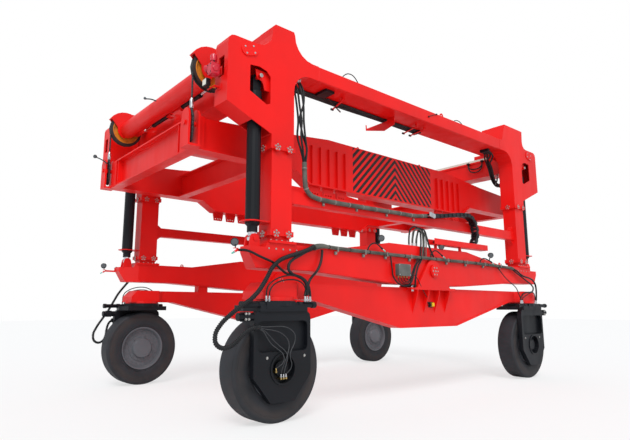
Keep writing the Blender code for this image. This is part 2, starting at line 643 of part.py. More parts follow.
def knuckle(name, sx, sy):
    """A steering knuckle: turntable and slew drive under the walking beam, and one boxed cheek outside the wheel."""
    x = sx * WHEEL_X
    y = sy * WHEEL_Y
    table_top = TURNTABLE_Z + TURNTABLE_THICK
    table = plate([(x - 0.380, y - 0.310), (x + 0.380, y - 0.310), (x + 0.440, y), (x + 0.380, y + 0.310),
                   (x - 0.380, y + 0.310), (x - 0.440, y)], (TURNTABLE_Z, table_top), "Z")
    ring = round_bar((x, y, table_top - 0.01), (x, y, table_top + SLEW_HIGH), SLEW_RADIUS, 24)
    face = WHEEL_WIDTH / 2 + CHEEK_GAP
    outer = face + CHEEK_THICK
    top = TURNTABLE_Z + 0.010
    bend = 0.090
    outline = ([(-CHEEK_HALF, WHEEL_RADIUS - 0.085), (-0.185, WHEEL_RADIUS - 0.410), (0.185, WHEEL_RADIUS - 0.410),
                (CHEEK_HALF, WHEEL_RADIUS - 0.085)]
               + arc((CHEEK_HALF - bend, top - bend), bend, 0, 90, 4) + arc((bend - CHEEK_HALF, top - bend), bend, 90, 180, 4))
    cheek = plate([(x + across, up) for across, up in outline], (y + sy * face, y + sy * outer))
    sill_z, lintel_z = WHEEL_RADIUS + 0.215, TURNTABLE_Z - 0.120
    hole = []
    for across, up, start in ((1, sill_z, -90), (1, lintel_z, 0), (-1, lintel_z, 90), (-1, sill_z, 180)):
        inward = 1 if up == sill_z else -1
        hole += arc((x + across * 0.340, up + inward * 0.060), 0.060, start, start + 90, 3)
    window = plate(hole, (y + sy * (face + CHEEK_WEB), y + sy * (outer + 0.1)))
    hub = round_bar((x, y + sy * (face + 0.010), WHEEL_RADIUS), (x, y + sy * (outer + 0.014), WHEEL_RADIUS),
                    HUB_RADIUS + 0.034, 20)
    mouth = round_bar((x, y + sy * (face + CHEEK_WEB), WHEEL_RADIUS), (x, y + sy * (outer + 0.1), WHEEL_RADIUS),
                      HUB_RADIUS + 0.010, 20)
    motor = round_bar((x, y + sy * (face + 0.015), WHEEL_RADIUS), (x, y + sy * (outer - 0.034), WHEEL_RADIUS),
                      HUB_RADIUS * 0.6, 12)
    drum = round_bar((x, y + sy * 0.103, WHEEL_RADIUS), (x, y + sy * (face + 0.008), WHEEL_RADIUS), HUB_RADIUS - 0.020, 16)
    spindle = round_bar((x, y - sy * 0.087, WHEEL_RADIUS), (x, y + sy * (face + 0.01), WHEEL_RADIUS), SPINDLE_RADIUS, 20)
    slew_z = table_top + 0.005
    slew_y = y + sy * SLEW_OUT
    housing = box((x + sx * 0.290, x - sx * 0.160), (y + sy * 0.200, y + sy * (SLEW_OUT + 0.048)),
                  (slew_z - 0.055, slew_z + 0.040))
    worm = round_bar((x + sx * 0.648, slew_y, slew_z), (x - sx * 0.536, slew_y, slew_z), 0.036, 10)
    caps = [round_bar((x + sx * start, slew_y, slew_z), (x + sx * stop, slew_y, slew_z), 0.044, 10)
            for start, stop in ((0.655, 0.600), (0.400, 0.340), (-0.240, -0.300), (-0.480, -0.545))]
    port_y = y + sy * 0.232
    port_z = TURNTABLE_Z - 0.064
    port = round_bar((x + sx * 0.445, port_y, port_z), (x + sx * 0.670, port_y, port_z), 0.050, 12)
    port_plate = box((x + sx * 0.520, x + sx * 0.600), centred(port_y, 0.052), centred(port_z, 0.060))
    change(table, "UNION", [ring, cheek])
    change(table, "DIFFERENCE", [window])
    change(table, "UNION", [hub])
    change(table, "DIFFERENCE", [mouth])
    change(table, "UNION", [motor, drum, spindle, worm, housing] + caps + [port, port_plate])
    return as_part(table, "knuckle_" + name, "black_paint", (x, y, TURNTABLE_Z))


def tyre(name, sx, sy):
    """A solid tyre as one ring, its tread a little crowned."""
    half = WHEEL_WIDTH / 2
    profile = [(RIM_RADIUS + TOUCH, half - 0.030), (0.500, half), (0.630, half - 0.004),
               (WHEEL_RADIUS, half - 0.050)]
    ring = profile + [(radius, -along) for radius, along in reversed(profile)]
    body = turned(ring, (sx * WHEEL_X, sy * WHEEL_Y, WHEEL_RADIUS), "Y", TYRE_STEPS)
    return as_part(body, "tyre_" + name, "tyre_rubber", (sx * WHEEL_X, sy * WHEEL_Y, WHEEL_RADIUS))


def rim(name, sx, sy):
    """A rim with its disc on the inner side and a hub round the knuckle's spindle."""
    half = WHEEL_WIDTH / 2
    bore = SPINDLE_RADIUS + BEARING_GAP
    profile = [(0.0, -0.090), (bore, -0.090), (bore, 0.100), (HUB_RADIUS, 0.100), (HUB_RADIUS, -0.040),
               (RIM_RADIUS - 0.050, -0.020),
               (RIM_RADIUS - 0.040, half - 0.010), (RIM_RADIUS, half - 0.010), (RIM_RADIUS, -half + 0.010),
               (RIM_RADIUS - 0.060, -0.090), (HUB_RADIUS + 0.020, -0.105), (HUB_RADIUS - 0.010, -0.160),
               (0.0, -0.170)]
    placed = [(radius, along * sy) for radius, along in profile]
    body = turned(placed, (sx * WHEEL_X, sy * WHEEL_Y, WHEEL_RADIUS), "Y", TYRE_STEPS)
    return as_part(body, "rim_" + name, "rim_grey", (sx * WHEEL_X, sy * WHEEL_Y, WHEEL_RADIUS))


def frame_beam(name, sy):
    """A long beam of the load frame, deep in the middle, with a bottom flange and load brackets."""
    end = END_X[0] - TOUCH
    under = [(end, FRAME_END_BOTTOM), (2.450, FRAME_END_BOTTOM), (2.150, FRAME_MID_BOTTOM)]
    over = [(end, FRAME_END_TOP), (3.000, 4.170), (1.700, FRAME_MID_TOP)]
    outline = under + [(-x, z) for x, z in reversed(under)] + [(-x, z) for x, z in over] + list(reversed(over))
    outer = sy * FRAME_OUT_Y
    inner = sy * (FRAME_OUT_Y - FRAME_BEAM_DEEP)
    body = plate(outline, (inner, outer))
    strip = under + [(-x, z) for x, z in reversed(under)]
    strip += [(x, z + FRAME_FLANGE) for x, z in reversed(strip)]
    flange = plate(strip, (inner - sy * 0.030, outer + sy * FRAME_LIP))
    joined = [flange]
    holes = []
    for sx in (-1, 1):
        for x in BRACKET_X:
            hanger = [(x - 0.125, FRAME_MID_BOTTOM + 0.020), (x - 0.090, FRAME_MID_BOTTOM - 0.160),
                      (x + 0.090, FRAME_MID_BOTTOM - 0.160), (x + 0.125, FRAME_MID_BOTTOM + 0.020)]
            joined.append(plate(flip(hanger, sx), centred(sy * (FRAME_OUT_Y - 0.030), 0.020)))
            for shift in (-0.056, 0.0, 0.056):
                holes.append(round_bar((sx * x + shift, inner, FRAME_MID_BOTTOM - 0.120),
                                       (sx * x + shift, outer, FRAME_MID_BOTTOM - 0.120), 0.019, 6))
        for x in RIB_X:
            joined.append(box(centred(sx * x, 0.009), (outer - sy * 0.01, outer + sy * 0.045),
                              (FRAME_MID_BOTTOM + 0.010, FRAME_MID_TOP - 0.180)))
    change(body, "UNION", joined)
    change(body, "DIFFERENCE", holes)
    return as_part(body, "frame_beam_" + name, "red_paint")


def frame_end(name, sx):
    """An end beam of the load frame, an open section with lug pairs for the hoist ropes."""
    x_in, x_out = END_X
    reach = FRAME_OUT_Y
    z = (FRAME_END_BOTTOM, FRAME_END_TOP)
    body = box((sx * x_in, sx * x_out), (-reach - FRAME_LIP, reach + FRAME_LIP), z)
    recess = box((sx * (x_out - 0.090), sx * (x_out + 0.1)), (-1.280, 1.280), (z[0] + 0.022, z[1] - 0.022))
    joined = []
    for sy in (-1, 1):
        lug = ([(sy * (ROPE_Y + 0.110), z[0])] + arc((sy * ROPE_Y, 4.060), 0.110, 0 if sy > 0 else 180,
                                                    180 if sy > 0 else 0, 8) + [(sy * (ROPE_Y - 0.110), z[0])])
        for x in (ROPE_X - 0.075, ROPE_X + 0.075):
            joined.append(plate(lug, centred(sx * x, 0.014), "X"))
        joined.append(box((sx * (ROPE_X - 0.110), sx * (ROPE_X + 0.089)), centred(sy * ROPE_Y, 0.110),
                          (z[0] - 0.001, z[0] + 0.030)))
        joined.append(box((sx * (x_out - 0.095), sx * (x_out - 0.006)), centred(sy * 1.200, 0.007),
                          (z[0] + 0.015, z[1] - 0.015)))
        joined.append(round_bar((sx * (ROPE_X - 0.100), sy * ROPE_Y, LUG_PIN_Z),
                                (sx * (ROPE_X + 0.110), sy * ROPE_Y, LUG_PIN_Z), LUG_PIN_RADIUS, 16))
    slots = [box((sx * (ROPE_X - 0.061), sx * (ROPE_X + 0.061)), (sy * (ROPE_Y - 0.130), sy * (ROPE_Y + 0.130)),
                 (z[0] + 0.060, z[1] + 0.2)) for sy in (-1, 1)]
    change(body, "DIFFERENCE", [recess] + slots)
    change(body, "UNION", joined)
    return as_part(body, "frame_end_" + name, "red_paint")


def frame_cross(name, sx):
    """A cross beam between the two long beams of the load frame."""
    reach = FRAME_OUT_Y - FRAME_BEAM_DEEP - TOUCH
    web = box(centred(sx * CROSS_X, 0.012), (-reach, reach), (FRAME_END_BOTTOM + FRAME_FLANGE + TOUCH, FRAME_END_TOP - 0.060))
    flanges = [box(centred(sx * CROSS_X, 0.090), (-reach + 0.0305, reach - 0.0305), (z, z + 0.030))
               for z in (FRAME_END_BOTTOM, FRAME_END_TOP - 0.080)]
    change(web, "UNION", flanges)
    return as_part(web, "frame_cross_" + name, "red_paint")


def carriage(name, sx):
    """A side-shift carriage: saddles on the rails, a tube across, and cheeks that hold two sheaves."""
    middle = sum(END_BEAM_X) / 2
    tube_end = ROPE_Y - SHEAVE_WIDE / 2 - 0.018
    tube = round_bar((sx * TUBE_X, -tube_end, sheave_z), (sx * TUBE_X, tube_end, sheave_z), TUBE_RADIUS, 28)
    sheave_centre = (ROPE_X - SHEAVE_PITCH, sheave_z)
    tail = middle - 0.190
    joined = []
    for sy in (-1, 1):
        for side in (-1, 1):
            outline = (arc(sheave_centre, 0.170, -80, 10, 5) + arc(sheave_centre, HOOD_RADIUS, 32, 100, 6)
                       + [(CHEEK_TAIL, sheave_z + 0.350), (CHEEK_TAIL, rail_top + 0.006), (3.860, rail_top + 0.006)])
            joined.append(plate(flip(outline, sx), centred(sy * ROPE_Y + side * (SHEAVE_WIDE / 2 + 0.020), 0.006)))
        joined.append(round_bar((sx * sheave_centre[0], sy * (tube_end + 0.002), sheave_z),
                                (sx * sheave_centre[0], sy * (ROPE_Y + SHEAVE_WIDE / 2 + 0.034), sheave_z),
                                AXLE_RADIUS, 20))
        joined.append(box((sx * tail, sx * 3.890), (sy * 1.300, sy * (tube_end + 0.001)),
                          (rail_top + TOUCH, rail_top + 0.080)))
        joined.append(box((sx * (CHEEK_TAIL + 0.010), sx * (CHEEK_TAIL + 0.070)),
                          centred(sy * ROPE_Y, SHEAVE_WIDE / 2 + 0.020), (sheave_z + 0.240, sheave_z + 0.300)))
        joined.append(box((sx * 3.800, sx * 3.880), (sy * 1.320, sy * (tube_end - 0.004)),
                          (sheave_z - 0.080, rail_top + 0.060)))
        hood = arc(sheave_centre, HOOD_RADIUS + 0.012, 30, 102, 6) + arc(sheave_centre, HOOD_RADIUS - 0.010, 102, 30, 6)
        joined.append(plate(flip(hood, sx), centred(sy * ROPE_Y, SHEAVE_WIDE / 2 + 0.018)))
    change(tube, "UNION", joined)
    return as_part(tube, "carriage_" + name, "red_paint")


def sheave(name, sx, sy):
    """A rope sheave with a grooved rim and a thin web."""
    half = SHEAVE_WIDE / 2
    groove = SHEAVE_PITCH - ROPE_RADIUS - TOUCH
    bore = AXLE_RADIUS + PAD_GAP
    profile = [(bore, -half), (0.090, -half), (0.095, -0.010), (0.225, -0.010), (0.235, -half),
               (SHEAVE_RADIUS, -half), (groove, -0.018), (groove, 0.018), (SHEAVE_RADIUS, half), (0.235, half),
               (0.225, 0.010), (0.095, 0.010), (0.090, half), (bore, half)]
    centre = (sx * (ROPE_X - SHEAVE_PITCH), sy * ROPE_Y, sheave_z)
    body = turned(profile, centre, "Y", ROUND_STEPS)
    return as_part(body, "sheave_" + name, "sheave_yellow", centre)


def hoist_rope(name, sx, sy):
    """A rope fall from a sheave down to its socket and the eye round the lug's pin."""
    x = sx * ROPE_X
    y = sy * ROPE_Y
    fall = round_bar((x, y, 4.150), (x, y, sheave_z), ROPE_RADIUS, 8)
    socket = round_bar((x, y, 4.180), (x, y, 4.330), 0.028, 10)
    eye = plate(arc((y, LUG_PIN_Z), 0.070, -200, 20, 8) + [(y + 0.016, 4.200), (y - 0.016, 4.200)],
                centred(x, 0.022), "X")
    hole = round_bar((x - 0.1, y, LUG_PIN_Z), (x + 0.1, y, LUG_PIN_Z), LUG_PIN_RADIUS + TOUCH, 16)
    change(eye, "UNION", [socket, fall])
    change(eye, "DIFFERENCE", [hole])
    return as_part(eye, "hoist_rope_" + name, "rope_steel")


for side_name, side in SIDES:
    side_beam(side_name, side)
    middle_frame(side_name, side)
    sill(side_name, side)
    walking_beam(side_name, side)
    frame_beam(side_name, side)

for end_name, end in ENDS:
    end_beam(end_name, end)
    shift_rails(end_name, end)
    frame_end(end_name, end)
    frame_cross(end_name, end)
    carriage(end_name, end)

for corner_name, along, across in CORNERS:
    knee(corner_name, along, across)
    wing(corner_name, along, across)
    barrel(corner_name, along, across)
    lift_rod(corner_name, along, across)
    mast(corner_name, along, across)
    knuckle(corner_name, along, across)
    tyre(corner_name, along, across)
    rim(corner_name, along, across)
    sheave(corner_name, along, across)
    hoist_rope(corner_name, along, across)
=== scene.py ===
import math

import bmesh
import bpy
import numpy as np
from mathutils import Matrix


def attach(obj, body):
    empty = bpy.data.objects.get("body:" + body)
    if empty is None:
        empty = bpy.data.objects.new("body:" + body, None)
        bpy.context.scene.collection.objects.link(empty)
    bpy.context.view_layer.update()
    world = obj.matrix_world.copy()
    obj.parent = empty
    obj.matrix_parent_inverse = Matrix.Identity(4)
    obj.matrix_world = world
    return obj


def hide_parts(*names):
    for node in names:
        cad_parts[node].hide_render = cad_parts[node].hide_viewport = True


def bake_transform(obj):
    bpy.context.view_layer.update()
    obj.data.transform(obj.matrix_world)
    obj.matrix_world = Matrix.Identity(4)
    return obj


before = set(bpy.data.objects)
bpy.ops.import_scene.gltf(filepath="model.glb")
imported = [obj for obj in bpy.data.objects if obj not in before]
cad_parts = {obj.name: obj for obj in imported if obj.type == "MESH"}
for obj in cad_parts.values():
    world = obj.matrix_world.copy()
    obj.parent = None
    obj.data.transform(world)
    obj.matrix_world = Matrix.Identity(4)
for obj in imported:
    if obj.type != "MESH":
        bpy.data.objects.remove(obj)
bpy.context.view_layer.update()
print("frame loaded")

corners = (("near_left", -1, -1), ("near_right", 1, -1), ("far_left", -1, 1), ("far_right", 1, 1))
sides = (("near", -1), ("far", 1))
ends = (("left", -1), ("right", 1))
touch = 0.0004  # what one piece keeps from the one that carries it
studio = bpy.context.scene


# Nodes: a node tree being wired, whose new nodes are fed in socket order by sockets, values or nothing (None)
class Graph:
    def __init__(self, tree):  # with a shader come the object's own coordinates
        self.tree = tree
        self.shader = tree.nodes.get("Principled BSDF")
        self.place = self.add("TexCoord").outputs["Object"] if self.shader else None

    def feed(self, socket, value):  # a link from another socket, or a fixed value, colours without alpha
        if isinstance(value, bpy.types.NodeSocket):
            self.tree.links.new(value, socket)
        elif value is not None:
            socket.default_value = (*value, 1.0) if socket.type == "RGBA" else value

    def add(self, kind, *values, **settings):  # a new node with its settings, then its sockets in order
        node = self.tree.nodes.new("ShaderNode" + kind)
        for key, value in settings.items():
            setattr(node, key, value)
        for socket, value in zip(node.inputs, values):
            self.feed(socket, value)
        return node

    def out(self, kind, *values, **settings):  # the same, as its first output
        return self.add(kind, *values, **settings).outputs[0]

    def math(self, operation, *values):  # one sum, product or comparison of the values
        return self.out("Math", *values, operation=operation)

    def noise(self, scale, detail, stretch=(1, 1, 1)):  # grey cloud over the object's own coordinates
        return self.out("TexNoise", self.out("Mapping", self.place, None, None, stretch), None, scale, detail)

    def remap(self, source, low, high, toLow=0.0, toHigh=1.0):  # low..high drawn onto toLow..toHigh
        return self.out("MapRange", source, low, high, toLow, toHigh)

    def mix(self, share, first, second):  # two colours, each a tuple or a socket, by a share
        return self.add("Mix", share, *[None] * 5, first, second, data_type="RGBA").outputs[2]

    def bump(self, height, strength, distance):  # the normal tilted by a height's slope
        node = self.add("Bump")
        for name, value in (("Strength", strength), ("Distance", distance), ("Height", height)):
            self.feed(node.inputs[name], value)
        self.dress({"Normal": node.outputs[0]})

    def dress(self, looks):  # feeds the shader's named sockets
        for name, value in looks.items():
            self.feed(self.shader.inputs[name], value)


def newMaterial(name):
    # an empty material and the graph over its nodes
    material = bpy.data.materials.new(name)
    material.use_nodes = True
    return material, Graph(material.node_tree)


# Camera and light
cameraSetup = {"place": (-7.371, -7.837, 1.451), "tilt": 9.664, "roll": 0.056, "heading": -40.35,
               "lens": 29.14, "shift": (0.0045, 0.0015)}
cameraData = bpy.data.cameras.new("camera")
cameraData.lens = cameraSetup["lens"]
cameraData.sensor_width = 36.0
cameraData.shift_x, cameraData.shift_y = cameraSetup["shift"]
cameraData.clip_end = 300.0
camera = bpy.data.objects.new("camera", cameraData)
camera.location = cameraSetup["place"]
camera.rotation_euler = (math.radians(90 + cameraSetup["tilt"]), math.radians(cameraSetup["roll"]),
                         math.radians(cameraSetup["heading"]))
studio.collection.objects.link(camera)
studio.camera = camera
studio.view_settings.view_transform = "Standard"

lightSetup = {"sky": 0.74, "sun": 1.9, "sunWay": (0.55, 0.62, -0.9), "sunSoft": 25.0,
              "front": 260.0, "frontPlace": (-6.0, -15.0, 7.0), "frontWay": (6.0, 15.0, -4.5), "frontSize": 9.0}
world = bpy.data.worlds.new("studio")
studio.world = world
world.use_nodes = True
sky = Graph(world.node_tree)
sky.tree.nodes.clear()
rays = sky.add("LightPath").outputs
seen = sky.math("MAXIMUM", rays["Is Camera Ray"], rays["Is Transmission Ray"])
softSky = sky.out("Background", (0.93, 0.96, 1.0), lightSetup["sky"])
sky.add("OutputWorld", sky.out("MixShader", seen, softSky, sky.out("Background", (1.0, 1.0, 1.0))))


def addLight(name, kind, place, way, strength, size):
    # a lamp whose -Z looks along the way: tilt = atan2(hypot(x, y), -z), heading = atan2(-x, y)
    light = bpy.data.lights.new(name, kind)
    light.energy = strength
    lamp = bpy.data.objects.new(name, light)
    lamp.location = place
    lamp.rotation_euler = (math.atan2(math.hypot(way[0], way[1]), -way[2]), 0.0, math.atan2(-way[0], way[1]))
    if kind == "SUN":
        light.angle = math.radians(size)
    else:
        light.shape = "DISK"
        light.size = size
    studio.collection.objects.link(lamp)


addLight("key", "SUN", (0, 0, 12), lightSetup["sunWay"], lightSetup["sun"], lightSetup["sunSoft"])
addLight("front", "AREA", lightSetup["frontPlace"], lightSetup["frontWay"], lightSetup["front"],
         lightSetup["frontSize"])


# Paints
def makePaint(name, sizes):
    # painted steel: two tones in broad clouds, dust on faces that look up, fine orange peel
    material, graph = newMaterial(name)
    run = graph.noise(5.0, 5.0, (1.0, 1.0, 0.22))
    tone = graph.mix(graph.remap(graph.noise(0.9, 4.0), 0.35, 0.68), sizes["fresh"], sizes["faded"])
    up = graph.add("SeparateXYZ", graph.add("NewGeometry").outputs["Normal"]).outputs[2]
    dusty = graph.math("MULTIPLY", graph.remap(up, 0.25, 1.0, 0.05, 1.0),
                       graph.remap(run, 0.4, 0.72, 0.0, sizes["dustShare"]))
    graph.dress({"Base Color": graph.mix(dusty, tone, sizes["dust"]),
                 "Roughness": graph.remap(run, 0.3, 0.7, *sizes["gloss"]), "Specular IOR Level": sizes["shine"],
                 "Coat Weight": sizes["coat"], "Coat Roughness": 0.22})
    graph.bump(graph.noise(38.0, 3.0), 0.05, 0.002)
    return material


paintSizes = {
    "redPaint": {"fresh": (0.79, 0.0045, 0.003), "faded": (0.66, 0.006, 0.0045), "dust": (0.36, 0.1, 0.07),
                 "gloss": (0.34, 0.5), "dustShare": 0.1, "shine": 0.26, "coat": 0.05},
    "blackPaint": {"fresh": (0.0035, 0.0045, 0.0065), "faded": (0.007, 0.0085, 0.012), "dust": (0.08, 0.07, 0.06),
                   "gloss": (0.36, 0.56), "dustShare": 0.1, "shine": 0.22, "coat": 0.03},
    "sirenPaint": {"fresh": (0.6, 0.006, 0.028), "faded": (0.46, 0.005, 0.022), "dust": (0.4, 0.2, 0.2),
                   "gloss": (0.25, 0.35), "dustShare": 0.05, "shine": 0.5, "coat": 0.3},
    "rimPaint": {"fresh": (0.12, 0.127, 0.142), "faded": (0.078, 0.083, 0.094), "dust": (0.12, 0.1, 0.09),
                 "gloss": (0.38, 0.6), "dustShare": 0.3, "shine": 0.4, "coat": 0.05},
    "greyPaint": {"fresh": (0.21, 0.2, 0.18), "faded": (0.15, 0.145, 0.13), "dust": (0.3, 0.27, 0.23),
                  "gloss": (0.35, 0.5), "dustShare": 0.3, "shine": 0.45, "coat": 0.1}}
redPaint, blackPaint, sirenPaint, rimPaint, greyPaint = (makePaint(*row) for row in paintSizes.items())


def makeMetal(name, light, dark, gloss, scratches, metallic=1.0):
    # bare or plated metal with fine stretched streaks in its tone and its gloss
    material, graph = newMaterial(name)
    streak = graph.noise(30.0, 4.0, scratches)
    graph.dress({"Base Color": graph.mix(graph.remap(streak, 0.35, 0.65), light, dark),
                 "Roughness": graph.remap(streak, 0.3, 0.7, *gloss), "Metallic": metallic})
    graph.bump(streak, 0.04, 0.001)
    return material


even = (1.0, 1.0, 1.0)
chromeRod = makeMetal("chromeRod", (0.8, 0.81, 0.83), (0.7, 0.71, 0.74), (0.08, 0.2), (6.0, 6.0, 0.4))
zincBolt = makeMetal("zincBolt", (0.62, 0.61, 0.58), (0.42, 0.41, 0.39), (0.28, 0.45), even)
socketSteel = makeMetal("socketSteel", (0.7, 0.71, 0.72), (0.5, 0.51, 0.53), (0.22, 0.4), (1.0, 1.0, 0.5))
brassFitting = makeMetal("brassFitting", (0.58, 0.42, 0.16), (0.36, 0.26, 0.1), (0.3, 0.5), even)
ropeSteel = makeMetal("ropeSteel", (0.06, 0.062, 0.066), (0.02, 0.021, 0.023), (0.42, 0.62), even, 0.55)
railStrip = makeMetal("railStrip", (0.78, 0.75, 0.66), (0.62, 0.58, 0.5), (0.3, 0.5), (0.3, 2.0, 2.0), 0.1)


def makeRubber(name, fresh, worn, gloss, grain):
    # rubber or moulded plastic: a dusty bloom in clouds over a dark base, with a fine grain
    material, graph = newMaterial(name)
    bloom = graph.noise(6.0, 6.0)
    graph.dress({"Base Color": graph.mix(graph.remap(bloom, 0.38, 0.7), fresh, worn),
                 "Roughness": graph.remap(bloom, 0.3, 0.7, *gloss), "Specular IOR Level": 0.3})
    graph.bump(graph.noise(grain, 2.0), 0.12, 0.001)
    return material


hoseRubber = makeRubber("hoseRubber", (0.004, 0.0048, 0.006), (0.012, 0.013, 0.015), (0.38, 0.6), 120.0)
lampPlastic = makeRubber("lampPlastic", (0.0045, 0.005, 0.007), (0.014, 0.015, 0.019), (0.34, 0.5), 90.0)
wrapCloth = makeRubber("wrapCloth", (0.12, 0.122, 0.104), (0.052, 0.052, 0.044), (0.65, 0.85), 160.0)
signalGreen = makeRubber("signalGreen", (0.08, 0.52, 0.4), (0.06, 0.4, 0.3), (0.25, 0.4), 60.0)
paleHose = makeRubber("paleHose", (0.03, 0.032, 0.036), (0.06, 0.062, 0.066), (0.34, 0.5), 120.0)
boxGrey = makeRubber("boxGrey", (0.125, 0.128, 0.118), (0.08, 0.082, 0.076), (0.45, 0.6), 60.0)
whiteLens = makeRubber("whiteLens", (0.78, 0.76, 0.68), (0.66, 0.64, 0.56), (0.2, 0.3), 60.0)
yellowCase = makeRubber("yellowCase", (0.8, 0.52, 0.01), (0.7, 0.42, 0.01), (0.3, 0.4), 60.0)

tyreSizes = {"dark": (0.0075, 0.0085, 0.0115), "bloom": (0.022, 0.024, 0.03), "band": (0.04, 0.027, 0.022),
             "bandRise": (0.5, 0.56), "bandFall": (0.615, 0.65)}


def makeTyreRubber():
    # solid tyre: bluish black, a browner band on the sidewall where the ring attribute, the distance
    # from the wheel's own axis, lies between its rise and its fall
    material, graph = newMaterial("tyreRubber")
    bloom = graph.noise(4.0, 7.0)
    base = graph.mix(graph.remap(bloom, 0.36, 0.7), tyreSizes["dark"], tyreSizes["bloom"])
    ring = graph.add("Attribute", attribute_name="ringRadius").outputs["Fac"]
    band = graph.math("MULTIPLY", graph.remap(ring, *tyreSizes["bandRise"]),
                      graph.remap(ring, *tyreSizes["bandFall"], 1.0, 0.0))
    share = graph.math("MULTIPLY", band, graph.remap(bloom, 0.35, 0.65, 0.15, 0.65))
    graph.dress({"Base Color": graph.mix(share, base, tyreSizes["band"]),
                 "Roughness": graph.remap(bloom, 0.3, 0.7, 0.58, 0.82)})
    graph.bump(graph.noise(90.0, 3.0), 0.18, 0.002)
    return material


tyreRubber = makeTyreRubber()
lampGlass, glass = newMaterial("lampGlass")
glass.dress({"Base Color": (0.06, 0.072, 0.08), "Roughness": 0.12, "Coat Weight": 0.6})
glass.bump(glass.noise(60.0, 1.0), 0.1, 0.001)

sheaveSizes = {"x": 4.03, "z": 4.8, "rimFrom": 0.246, "web": (0.66, 0.235, 0.012), "worn": (0.48, 0.16, 0.012),
               "greased": (0.02, 0.019, 0.018)}


def makeSheavePaint():
    # orange web inside, greased black rim outside, split by the distance from the axle:
    # the root of (|x| - x0)^2 + (z - z0)^2
    material, graph = newMaterial("sheavePaint")
    parts = graph.add("SeparateXYZ", graph.place).outputs
    across = graph.math("SUBTRACT", graph.math("ABSOLUTE", parts[0]), sheaveSizes["x"])
    flat = graph.out("CombineXYZ", across, graph.math("SUBTRACT", parts[2], sheaveSizes["z"]))
    far = graph.add("VectorMath", flat, operation="LENGTH").outputs["Value"]
    cloud = graph.noise(12.0, 5.0)
    web = graph.mix(graph.remap(cloud, 0.4, 0.7), sheaveSizes["web"], sheaveSizes["worn"])
    edge = graph.remap(far, sheaveSizes["rimFrom"] - 0.003, sheaveSizes["rimFrom"] + 0.003)
    graph.dress({"Base Color": graph.mix(edge, web, sheaveSizes["greased"]),
                 "Roughness": graph.remap(cloud, 0.3, 0.7, 0.3, 0.5)})
    return material


sheavePaint = makeSheavePaint()

# the painted stripes of the load frame's long beams, in the beam's own x and z
stripeSizes = {"x": (-1.12, 1.14), "z": (3.47, 4.285), "rise": 1.02, "pitch": 0.15, "share": 0.52,
               "apexX": 0.03, "faceY": 1.6, "black": (0.012, 0.012, 0.014)}


def makeStripedPaint():
    # the red paint with black chevrons: a stripe is where (height + rise x |distance from the apex|) / pitch
    # has a fraction under the share, inside the panel's edges and on the outer face of the web alone
    material = redPaint.copy()
    material.name = "stripedPaint"
    graph = Graph(material.node_tree)
    red = graph.shader.inputs["Base Color"].links[0].from_socket
    x, y, z = graph.add("SeparateXYZ", graph.place).outputs
    away = graph.math("ABSOLUTE", graph.math("SUBTRACT", x, stripeSizes["apexX"]))
    slant = graph.math("MULTIPLY_ADD", away, stripeSizes["rise"], z)
    part = graph.math("FRACT", graph.math("DIVIDE", slant, stripeSizes["pitch"]))
    inside = graph.math("LESS_THAN", part, stripeSizes["share"])
    for socket, limits in ((x, stripeSizes["x"]), (z, stripeSizes["z"])):
        for operation, limit in zip(("GREATER_THAN", "LESS_THAN"), limits):
            inside = graph.math("MULTIPLY", inside, graph.math(operation, socket, limit))
    face = graph.math("COMPARE", graph.math("ABSOLUTE", y), stripeSizes["faceY"], 0.004)
    graph.dress({"Base Color": graph.mix(graph.math("MULTIPLY", inside, face), red, stripeSizes["black"])})
    return material


redNodes = ("knee", "wing", "side_beam", "end_beam", "middle_frame", "mast", "sill", "walking_beam", "frame_end",
            "frame_cross", "carriage")
finishes = dict.fromkeys(redNodes, redPaint)
finishes.update({"frame_beam": makeStripedPaint(), "shift_rails": railStrip, "cylinder_barrel": blackPaint,
                 "knuckle": blackPaint, "lift_rod": chromeRod, "tyre": tyreRubber, "rim": rimPaint,
                 "sheave": sheavePaint, "hoist_rope": ropeSteel})
for nodeName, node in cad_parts.items():
    stem = max((key for key in finishes if nodeName.startswith(key + "_")), key=len)
    node.data.materials.clear()
    node.data.materials.append(finishes[stem])
print("materials made")


# Shapes as whole arrays.
# A shape is (points, faces): points an (n, 3) array, faces a list of index arrays of equal-sized faces.

def gridFaces(rows, columns, closedRows, closedColumns):
    # quads between neighbours of a rows x columns grid, wrapped round where it is closed
    i = np.arange(rows if closedRows else rows - 1)[:, None]
    j = np.arange(columns if closedColumns else columns - 1)[None, :]
    nextI = (i + 1) % rows
    nextJ = (j + 1) % columns
    quads = np.stack(np.broadcast_arrays(i * columns + j, i * columns + nextJ, nextI * columns + nextJ,
                                         nextI * columns + j), axis=-1)
    return quads.reshape(-1, 4)


def unit(way):
    # each vector over its own length
    way = np.asarray(way, float)
    return way / np.linalg.norm(way, axis=-1, keepdims=True)


def basis(way):
    # two unit vectors across a direction, and the direction
    way = unit(way)
    first = unit(np.cross((0.0, 0.0, 1.0) if abs(way[2]) < 0.9 else (1.0, 0.0, 0.0), way))
    return first, np.cross(way, first), way


def runLength(path):
    # how far along a path each of its points lies
    return np.concatenate([[0.0], np.cumsum(np.linalg.norm(np.diff(path, axis=0), axis=1))])


def pointsAt(path, at):
    # the points of a path at the given lengths from its start
    steps = runLength(path)
    return np.stack([np.interp(at, steps, column) for column in np.transpose(path)], axis=-1)


def pathFrame(path, lean):
    # two unit vectors across a path at each point: n = lean x tangent and b = tangent x n
    tangent = unit(np.gradient(path, axis=0))
    first = unit(np.cross(np.asarray(lean, float), tangent))
    return first, np.cross(tangent, first)


